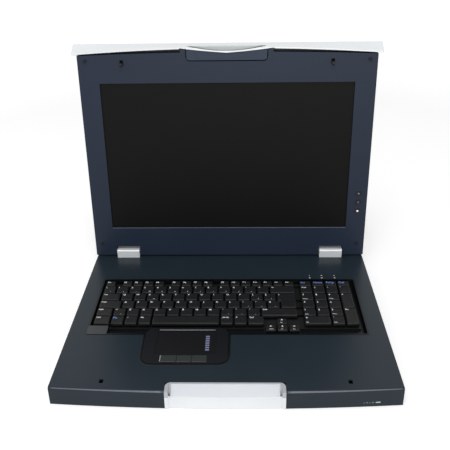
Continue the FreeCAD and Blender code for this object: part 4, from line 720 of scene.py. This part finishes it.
gap_plan = np.concatenate([[[left, keys_front]], corner_left, corner_right, [[right, keys_front]]])
along = np.gradient(gap_plan, axis=0)
along /= np.linalg.norm(along, axis=1, keepdims=True)
gap_across = np.column_stack([along[:, 1], -along[:, 0], np.zeros(len(along))])
gap_path = np.column_stack([gap_plan, np.full(len(gap_plan), deck_z)]) + gap_across * GAP_HALF
gap_shade = strip_arrays(gap_path, gap_across, half_round(GAP_HALF, GAP_PROUD))
add_piece("housing_gap_shade", gap_shade, "button", "drawer")
print("housing in mm", round((right - left) / MM, 1), "wide")

# %% Ridge behind the pad
RIDGE_INSET = 1.5 * MM
RIDGE_BACK = 3.0 * MM
RIDGE_SINK = 0.05 * MM
RIDGE_HALF = 1.3 * MM
RIDGE_PROUD = 0.7 * MM
ridge_x = np.linspace(pad_low[0] + RIDGE_INSET, pad_high[0] - RIDGE_INSET, 12)
ridge_path = np.column_stack([ridge_x, np.full(len(ridge_x), pad_high[1] + RIDGE_BACK),
                              np.full(len(ridge_x), housing_z - RIDGE_SINK)])
ridge_across = np.tile((0.0, 1.0, 0.0), (len(ridge_x), 1))
ridge = strip_arrays(ridge_path, ridge_across, half_round(RIDGE_HALF, RIDGE_PROUD))
add_piece("pad_ridge", ridge, "ridge", "drawer")

# %% Scroll ladder
RUNGS = 7
RUNG_WIDTH = 5.2 * MM
RUNG_DEPTH = 3.1 * MM
RUNG_CORNER = 0.5 * MM
LADDER_FRONT = 8.0 * MM
LADDER_BACK = 11.0 * MM
LADDER_SIDE = 14.0 * MM
rung_left = pad_high[0] - LADDER_SIDE
ladder = []
for y in np.linspace(pad_low[1] + LADDER_FRONT, pad_high[1] - LADDER_BACK, RUNGS):
    corners = box_corners((rung_left, y - RUNG_DEPTH / 2), (rung_left + RUNG_WIDTH, y + RUNG_DEPTH / 2))
    ladder.append(plate_arrays(rounded_outline(corners, RUNG_CORNER), pad_high[2], pad_high[2] + 2 * INK))
add_piece("pad_ladder", join_arrays(ladder), "ladder", "drawer", smooth=False)
print("rungs", len(ladder))

# %% Painted highlight on the left button's edge
BUTTON_HIGHLIGHT_START = 0.7 * MM
BUTTON_HIGHLIGHT_WIDTH = 1.0 * MM
BUTTON_HIGHLIGHT_END_INSET = 1.0 * MM
BUTTON_HIGHLIGHT_HALF_THICK = 0.05 * MM
left_low, left_high = box_of("touchpad_button_left")
highlight_left = left_low[0] + BUTTON_HIGHLIGHT_START
highlight_plan = box_corners((highlight_left, left_low[1] + BUTTON_HIGHLIGHT_END_INSET),
                        (highlight_left + BUTTON_HIGHLIGHT_WIDTH, left_high[1] - BUTTON_HIGHLIGHT_END_INSET))
button_highlight = plate_arrays(highlight_plan, left_high[2] - BUTTON_HIGHLIGHT_HALF_THICK, left_high[2] + BUTTON_HIGHLIGHT_HALF_THICK)
add_piece("pad_button_highlight", button_highlight, "edge light", body_with("touchpad_button_left"),
          smooth=False)

# %% [markdown]
# ## Corner block, lock marks and status marks
# Small things that the eye expects: the paler block at the keyboard's front left corner, the three
# marks behind the lock lights, and the marks beside the status light on the front skirt. Each could
# be cut into its surface, but a thin plate laid on it costs a few faces and looks the same.

# %% Corner block
CORNER_WIDTH = 28.0 * MM
CORNER_DEPTH = 19.5 * MM
CORNER_INSET = 0.4 * MM
CORNER_ROUND = 2.0 * MM
CORNER_THICK = 0.15 * MM
FRAME_PROUD = 0.4 * MM
corner_box = box_corners((frame_low[0] + CORNER_INSET, keys_front + CORNER_INSET),
                         (frame_low[0] + CORNER_WIDTH, keys_front + CORNER_DEPTH))
frame_top = deck_z + FRAME_PROUD
corner_plan = rounded_outline(corner_box, CORNER_ROUND)
corner_block = plate_arrays(corner_plan, frame_top, frame_top + CORNER_THICK)
add_piece("corner_plate", corner_block, "corner", "drawer", smooth=False)

# %% Lock marks
MARK_SIZE = 2.6 * MM
MARK_BEHIND = 4.5 * MM
lights = solids_of("indicator_lenses")
lock_lights = sorted((box for box in lights if box[1][2] > 0), key=lambda box: box[0][0])
status_low = next(low for low, high in lights if high[2] < 0)
marks = []
for (low, high), sign in zip(lock_lights, "1AS"):
    points, triangles = word_arrays(sign, MARK_SIZE)
    points += [(low[0] + high[0] - points[:, 0].max()) / 2, high[1] + MARK_BEHIND, deck_z + INK]
    marks.append((points, triangles))
add_piece("lock_marks", join_arrays(marks), "print", "drawer", smooth=False)
print("lock lights", len(lock_lights))

# %% Status marks on the skirt
HALF_TRAY = 215.0 * MM
BOW = 8.0 * MM
TICK_PITCH = 3.6 * MM
TICK_WIDTH = 2.4 * MM
TICK_CLEAR = 1.6 * MM
TICK_UNIT = 0.9 * MM
TICK_SUNK = 0.3 * MM
TICK_PROUD = 0.12 * MM
ticks = []
for step in range(1, 5):
    x1 = status_low[0] - step * TICK_PITCH + TICK_CLEAR
    x0 = x1 - TICK_WIDTH
    y = status_low[1] - BOW * (status_low[0] ** 2 - ((x0 + x1) / 2) ** 2) / HALF_TRAY ** 2
    foot, top = status_low[2], status_low[2] + TICK_UNIT * (1 + step % 2)
    ring = np.array([(x0, foot), (x1, foot), (x1, top), (x0, top)])
    ticks.append(closed_rings(np.array([np.column_stack([ring[:, 0], np.full(4, y + sunk), ring[:, 1]])
                                        for sunk in (TICK_SUNK, -TICK_PROUD)])))
add_piece("status_ticks", join_arrays(ticks), "tick", "drawer", smooth=False)
print("status marks", len(ticks))

# %% [markdown]
# ## Lid trim
# The lower lip of the screen opening catches the light as one thin line. A rounded edge on the frame
# would give it, but the frame's mesh stays as it is, so a half-round of next to no height does. The
# lid leans back, so its pieces are placed in the lid's own frame, taken from its hinge.

# %% Lid frame
LID_LEAN = math.radians(2.5)
HINGE_IN_LID = np.array((0.0, 5.3, 4.5)) * MM
LID_OUT = np.array((0.0, -math.cos(LID_LEAN), math.sin(LID_LEAN)))
LID_UP = np.array((0.0, math.sin(LID_LEAN), math.cos(LID_LEAN)))
hinge_place = np.array(next(joint["pos_m"] for joint in frame["joints"] if joint["name"] == "lid_hinge"))


def on_lid(x, height, proud):
    """Lid coordinates to the model's frame: hinge + x right + (height - hinge height) up + proud out."""
    return (hinge_place + np.multiply.outer(x, (1.0, 0.0, 0.0))
            + np.multiply.outer(height - HINGE_IN_LID[2], LID_UP)
            + np.multiply.outer(proud + HINGE_IN_LID[1], LID_OUT))


# %% Screen lip
OPENING_BOTTOM = 48.9 * MM
OPENING_MIDDLE = -0.4 * MM
OPENING_HALF = 186.0 * MM
LIP_HALF = 0.55 * MM
LIP_PROUD = 0.3 * MM
section = half_round(LIP_HALF, LIP_PROUD)
lip_height = OPENING_BOTTOM - LIP_HALF + section[:, 0]
rings = [on_lid(np.full(len(section), end), lip_height, section[:, 1])
         for end in (OPENING_MIDDLE - OPENING_HALF, OPENING_MIDDLE + OPENING_HALF)]
add_piece("screen_lip", closed_rings(np.array(rings)), "lip", "lid", smooth=False)

# %% [markdown]
# ## Beak
# The silver strip swells to a beak over the latch, and a finger slips behind it. The swell lies in
# shade in a shallow arch. It could be carved into the strip, but the strip's shape is fixed, so the
# shade is painted: a thin darker lens sits on its face.

# %% Painted shade of the finger scoop in the silver beak
SCOOP_HALF = 56.0 * MM
SCOOP_TOP = 1.2 * MM
SCOOP_SHARE = 0.62
SCOOP_CENTRE_SHARE = 0.4
SCOOP_END = 0.4 * MM
SCOOP_RINGS = ((1.0, -0.05 * MM), (1.0, 0.04 * MM), (0.8, 0.12 * MM), (0.45, 0.16 * MM))
panel = points_of(nodes["front_panel"].data)
panel = panel[np.abs(panel[:, 0]) < SCOOP_HALF] - hinge_place
panel_face = (panel @ LID_OUT).max() - HINGE_IN_LID[1]
panel_far = (panel @ LID_UP).max() + HINGE_IN_LID[2]
panel_tip = (panel @ LID_UP).min() + HINGE_IN_LID[2]
scoop_x = SCOOP_HALF * np.cos(np.linspace(0, math.pi, 24))
scoop_top = panel_far - SCOOP_TOP
scoop_depth = (panel_far - panel_tip) * SCOOP_SHARE
arch = scoop_top - scoop_depth * (1 - (scoop_x / SCOOP_HALF) ** 2) - SCOOP_END
scoop = np.concatenate([np.column_stack([scoop_x, np.full(len(scoop_x), scoop_top)]),
                        np.column_stack([scoop_x[::-1], arch[::-1]])])
scoop_centre = np.array((0.0, scoop_top - scoop_depth * SCOOP_CENTRE_SHARE))
rings = []
for share, proud in SCOOP_RINGS:
    flat = scoop_centre + (scoop - scoop_centre) * share
    rings.append(on_lid(flat[:, 0], flat[:, 1], np.full(len(flat), panel_face + proud)))
add_piece("beak_scoop", closed_rings(np.array(rings)), "scoop", "lid")
print("scoop depth in mm", round((scoop_depth + SCOOP_END) / MM, 1))

# %% [markdown]
# ## Monitor buttons
# The three monitor buttons are small round caps in the lid, each with a dark ring round it and a pale
# spot at its middle. A material could paint both, but only pieces of their own move apart: the ring
# is a low half-round on the lid, and each spot is a low dome that goes in with its button.

# %% Monitor buttons: rings and light spots
def ring_arrays(centre, normal, middle_radius, half_width, height, around=24, steps=8):
    """A low ring about a normal: out from the centre by r - w cos t and up by h sin t, with the last
    point of each section joined to its first under the foot."""
    side = np.array((1.0, 0.0, 0.0))
    other = np.cross(normal, side)
    turn = np.linspace(0, 2 * math.pi, around, endpoint=False)
    t = np.linspace(0, math.pi, steps)
    out = (side * np.cos(turn)[:, None] + other * np.sin(turn)[:, None])[:, None, :]
    radius = (middle_radius - half_width * np.cos(t))[None, :, None]
    points = centre + out * radius + (height * np.sin(t))[None, :, None] * normal
    i, j = np.meshgrid(np.arange(around), np.arange(steps), indexing="ij")
    i2, j2 = (i + 1) % around, (j + 1) % steps
    quads = np.stack([i * steps + j, i2 * steps + j, i2 * steps + j2, i * steps + j2], -1)
    return points.reshape(-1, 3), quads.reshape(-1, 4).tolist()


SPOT_SINK = 0.15 * MM
SPOT_SHARE = 0.48
SPOT_PROUD = 0.35 * MM
RING_CLEAR = 0.9 * MM
RING_HALF = 0.7 * MM
RING_PROUD = 0.3 * MM
spots = {"osd_button_1": "tick", "osd_button_2": "lip", "osd_button_3": "bright"}
rings = []
for name, finish in spots.items():
    low, high = box_of(name)
    x, z = (low[0] + high[0]) / 2, (low[2] + high[2]) / 2
    radius = (high[0] - low[0]) / 2
    spot = dome_arrays((x, low[1] + SPOT_SINK, z), LID_OUT, radius * SPOT_SHARE, SPOT_PROUD)
    add_piece("spot_" + name, spot, finish, body_with(name))
    height = (z - hinge_place[2]) / math.cos(LID_LEAN) + HINGE_IN_LID[2]
    rings.append(ring_arrays(on_lid(x, height, 0.0), LID_OUT, radius + RING_CLEAR, RING_HALF, RING_PROUD))
add_piece("button_rings", join_arrays(rings), "button", "lid")
print("buttons ringed", len(rings))

# %% [markdown]
# ## Front edge
# The deck's rounded front edge shines as a pale line that grows towards the handle, and that line is a
# painted highlight. A pale band in the material would need the edge to be found by its angle, so it is
# a half-round of next to no height in a pale colour, carried along the bowed edge and turned by 45
# degrees to lie on the rounding.

# %% Painted highlight line on the front edge
EDGE_RADIUS = 3.0 * MM
PAD_TO_FRONT = 64.0 * MM
HIGHLIGHT_START = 74.5 * MM
HIGHLIGHT_INSET = 3.0 * MM
HIGHLIGHT_HALF = 1.2 * MM
HIGHLIGHT_PROUD = 0.16 * MM
HIGHLIGHT_SINK = 0.06 * MM
HIGHLIGHT_END_SHARE = 0.45
SLANT = math.sqrt(0.5)
edge_in = EDGE_RADIUS * (1 - SLANT)
tray_corner_y = pad_low[1] - PAD_TO_FRONT
edge_highlights = []
for side in (-1, 1):
    x = side * np.linspace(HIGHLIGHT_START, HALF_TRAY - HIGHLIGHT_INSET, 24)
    y = tray_corner_y - BOW * (1 - (x / HALF_TRAY) ** 2) + edge_in
    path = np.column_stack([x, y, np.full(len(x), deck_z - edge_in - HIGHLIGHT_SINK)])
    across = np.array((0.0, SLANT, SLANT)) * np.linspace(1.0, HIGHLIGHT_END_SHARE, len(x))[:, None]
    edge_highlights.append(strip_arrays(path, across, half_round(HIGHLIGHT_HALF, HIGHLIGHT_PROUD), up=(0.0, -SLANT, SLANT)))
add_piece("front_edge_highlight", join_arrays(edge_highlights), "edge highlight", "drawer")
print("painted highlight lines", len(edge_highlights))

# %% [markdown]
# ## Handle edge
# The pull handle is bright, and the crest between its scooped top and its front face shows as a bright
# line, while the hollows at the scoop's two ends lie in shade. Lamps alone leave both flat, so both are
# painted: a thin near-white half-round along the bowed front is a painted highlight, and a hollow fillet
# of a duller silver in each cheek is painted shade.

# %% Handle crest, a painted highlight
handle_low, handle_high = box_of("handle")
CREST_DROP = 8.5 * MM
CREST_BACK = 1.2 * MM
CREST_LENGTH_HALF = 66.0 * MM
CREST_HALF = 0.5 * MM
CREST_PROUD = 0.4 * MM
CREST_SLANT = 0.7
crest_z = handle_high[2] - CREST_DROP
crest_x = np.linspace(-CREST_LENGTH_HALF, CREST_LENGTH_HALF, 25)
crest_y = handle_low[1] + BOW * (crest_x / HALF_TRAY) ** 2 + CREST_BACK
crest_path = np.column_stack([crest_x, crest_y, np.full(len(crest_x), crest_z)])
crest_across = np.tile((0.0, -CREST_SLANT, CREST_SLANT), (len(crest_x), 1))
crest_line = strip_arrays(crest_path, crest_across, half_round(CREST_HALF, CREST_PROUD))
add_piece("handle_crest", crest_line, "bright", "drawer")

# %% Shaded cheeks at the handle's ends
CHEEK_INSET = 4.5 * MM
CHEEK_WIDTH = 5.0 * MM
CHEEK_RISE = 4.5 * MM
CHEEK_BACK = 2.6 * MM
CHEEK_FRONT = 2.4 * MM
CHEEK_SINK = 0.3 * MM
CHEEK_CLEAR = 0.1 * MM
CHEEK_STEPS = 7


def cheek_arrays(side):
    """A hollow fillet from the scoop's floor up its end: x = inner - w (1 - sin t), rise h (1 - cos t)
    across the end, carried down the scoop from the back edge to the crest. The rise h stops at the
    handle's rim."""
    t = np.linspace(0, math.pi / 2, CHEEK_STEPS)
    inner = handle_high[0] - CHEEK_INSET
    back = np.array((handle_high[1] - CHEEK_BACK, deck_z - CHEEK_SINK))
    crest = np.array((handle_low[1] + CHEEK_FRONT, crest_z + CHEEK_CLEAR))
    rings = []
    for share in (0.0, 0.5, 1.0):
        y, z = back + (crest - back) * share
        rise = min(CHEEK_RISE, handle_high[2] - CHEEK_CLEAR - z)
        curve = np.column_stack([inner - CHEEK_WIDTH * (1 - np.sin(t)), np.full(len(t), y),
                                 z + rise * (1 - np.cos(t))])
        rings.append(np.concatenate([curve, [[inner, y, z]]]))
    return closed_rings(np.array(rings) * (side, 1, 1))


cheeks = join_arrays([cheek_arrays(-1), cheek_arrays(1)])
add_piece("handle_cheeks", cheeks, "cheek", "drawer")
print("handle in mm", ((handle_high - handle_low) / MM).round(1))

# %% [markdown]
# ## The studio
# A pale floor and wide soft lamps from above, beside and in front, with a white surround. More light
# would whiten the backdrop but bleach the drawer too, so the floor and the world are lifted only where
# they are looked at. The drawer hangs by its ears in use, so the floor lies just under its lowest edge.

# %% Floor and backdrop
def direct_view(tree):
    """1 for rays from the camera, a mirror or glass, and 0 for light that falls on things."""
    rays = put(tree, "LightPath")
    first = put(tree, "Math", ("operation", "MAXIMUM"))
    second = put(tree, "Math", ("operation", "MAXIMUM"))
    tree.links.new(rays.outputs["Is Camera Ray"], first.inputs[0])
    tree.links.new(rays.outputs["Is Glossy Ray"], first.inputs[1])
    tree.links.new(first.outputs["Value"], second.inputs[0])
    tree.links.new(rays.outputs["Is Transmission Ray"], second.inputs[1])
    return second.outputs["Value"]


FLOOR_HALF = 6.0
FLOOR_NEAR = 0.9
FLOOR_FAR = 3.0
FLOOR_LIFT = 0.45
FLOOR_GAP = 1.0 * MM
FLOOR_COLOUR = (0.72, 0.72, 0.72, 1.0)
WHITE = (1.0, 1.0, 1.0, 1.0)


def studio_white(name, colour):
    """A matt white that keeps shadows, lifted where it is looked at, and more so far from the object."""
    material, tree, shader = new_finish(name)
    set_sockets(shader, Base_Color=colour, Roughness=0.9, Specular_IOR_Level=0.0, Emission_Color=WHITE)
    place = put(tree, "TexCoord")
    reach = put(tree, "VectorMath", ("operation", "LENGTH"))
    ranged = put(tree, "MapRange", From_Min=FLOOR_NEAR, From_Max=FLOOR_FAR, To_Max=1.0,
                 To_Min=FLOOR_LIFT)
    product = put(tree, "Math", ("operation", "MULTIPLY"))
    tree.links.new(place.outputs["Object"], reach.inputs[0])
    tree.links.new(reach.outputs["Value"], ranged.inputs["Value"])
    tree.links.new(ranged.outputs["Result"], product.inputs[0])
    tree.links.new(direct_view(tree), product.inputs[1])
    tree.links.new(product.outputs["Value"], shader.inputs["Emission Strength"])
    return material


floor_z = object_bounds()[0].z - FLOOR_GAP
floor_plan = box_corners((-FLOOR_HALF, -FLOOR_HALF), (FLOOR_HALF, FLOOR_HALF))
floor_mesh = bpy.data.meshes.new("floor")
floor_mesh.from_pydata(np.column_stack([floor_plan, np.full(4, floor_z)]), [], [(0, 1, 2, 3)])
floor_mesh.materials.append(studio_white("Studio floor", FLOOR_COLOUR))
floor = bpy.data.objects.new("floor", floor_mesh)
bpy.context.collection.objects.link(floor)
floor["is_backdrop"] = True
print("floor height in mm", round(floor_z / MM, 1))

# %% World: soft light for the object, white behind it
WORLD_LIGHT = 0.55
WORLD_SEEN = 1.0
world = bpy.data.worlds.new("Studio")
bpy.context.scene.world = world
world.use_nodes = True
tree = world.node_tree
background = tree.nodes["Background"]
strength = put(tree, "MapRange", To_Min=WORLD_LIGHT, To_Max=WORLD_SEEN)
tree.links.new(direct_view(tree), strength.inputs["Value"])
tree.links.new(strength.outputs["Result"], background.inputs["Strength"])
set_sockets(background, Color=WHITE)

# %% Lamps
model_middle = (cad_low + cad_high) / 2


def soft_lamp(name, place, size, power):
    """A square area lamp that faces the model's middle."""
    data = bpy.data.lights.new(name, "AREA")
    data.size = size
    data.energy = power
    lamp = bpy.data.objects.new(name, data)
    aim = model_middle - Vector(place)
    lamp.matrix_world = Matrix.Translation(place) @ aim.to_track_quat("-Z", "Y").to_matrix().to_4x4()
    bpy.context.collection.objects.link(lamp)


soft_lamp("key lamp", place=(-0.05, -1.1, 1.75), size=0.8, power=11.5)
soft_lamp("side lamp", place=(-1.6, -0.8, 1.3), size=1.2, power=5)
soft_lamp("front lamp", place=(0.2, -2.4, 0.7), size=1.2, power=12)
print("lamps", len(bpy.data.lights))

# %% [markdown]
# ## The camera
# It stands in front of the drawer, a little above a seated user's hands and a little right of the
# middle, and looks down at 26 degrees. Its place is written in metres, since it belongs to this view
# and not to any size of the drawer. The directions ahead, level and upright are worked out from the
# three angles, and the small shift and roll frame the drawer.

# %% Camera
CAMERA_PLACE = Vector((0.0209, -1.0605, 0.5436))
CAMERA_DOWN = math.radians(26.48)
CAMERA_TURN = math.radians(-1.57)
CAMERA_ROLL = math.radians(-0.9)
CAMERA_LENS = 52.46
CAMERA_SENSOR = 36.0
CAMERA_SHIFT = (-0.0018, -0.028)
CAMERA_NEAR = 0.01
ahead = Vector((math.sin(CAMERA_TURN) * math.cos(CAMERA_DOWN),
                math.cos(CAMERA_TURN) * math.cos(CAMERA_DOWN), -math.sin(CAMERA_DOWN)))
level = Vector((math.cos(CAMERA_TURN), -math.sin(CAMERA_TURN), 0.0))
upright = level.cross(ahead)
right = level * math.cos(CAMERA_ROLL) + upright * math.sin(CAMERA_ROLL)
top = upright * math.cos(CAMERA_ROLL) - level * math.sin(CAMERA_ROLL)
camera_data = bpy.data.cameras.new("camera")
camera_data.lens = CAMERA_LENS
camera_data.sensor_width = CAMERA_SENSOR
camera_data.shift_x, camera_data.shift_y = CAMERA_SHIFT
camera_data.clip_start = CAMERA_NEAR
camera = bpy.data.objects.new("camera", camera_data)
turned = Matrix((right, top, -ahead)).transposed().to_4x4()
camera.matrix_world = Matrix.Translation(CAMERA_PLACE) @ turned
bpy.context.collection.objects.link(camera)
bpy.context.scene.camera = camera
bpy.context.scene.view_settings.view_transform = "Standard"
print("camera at", [round(v, 3) for v in CAMERA_PLACE])

# %% The box of the finished scene
low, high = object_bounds()
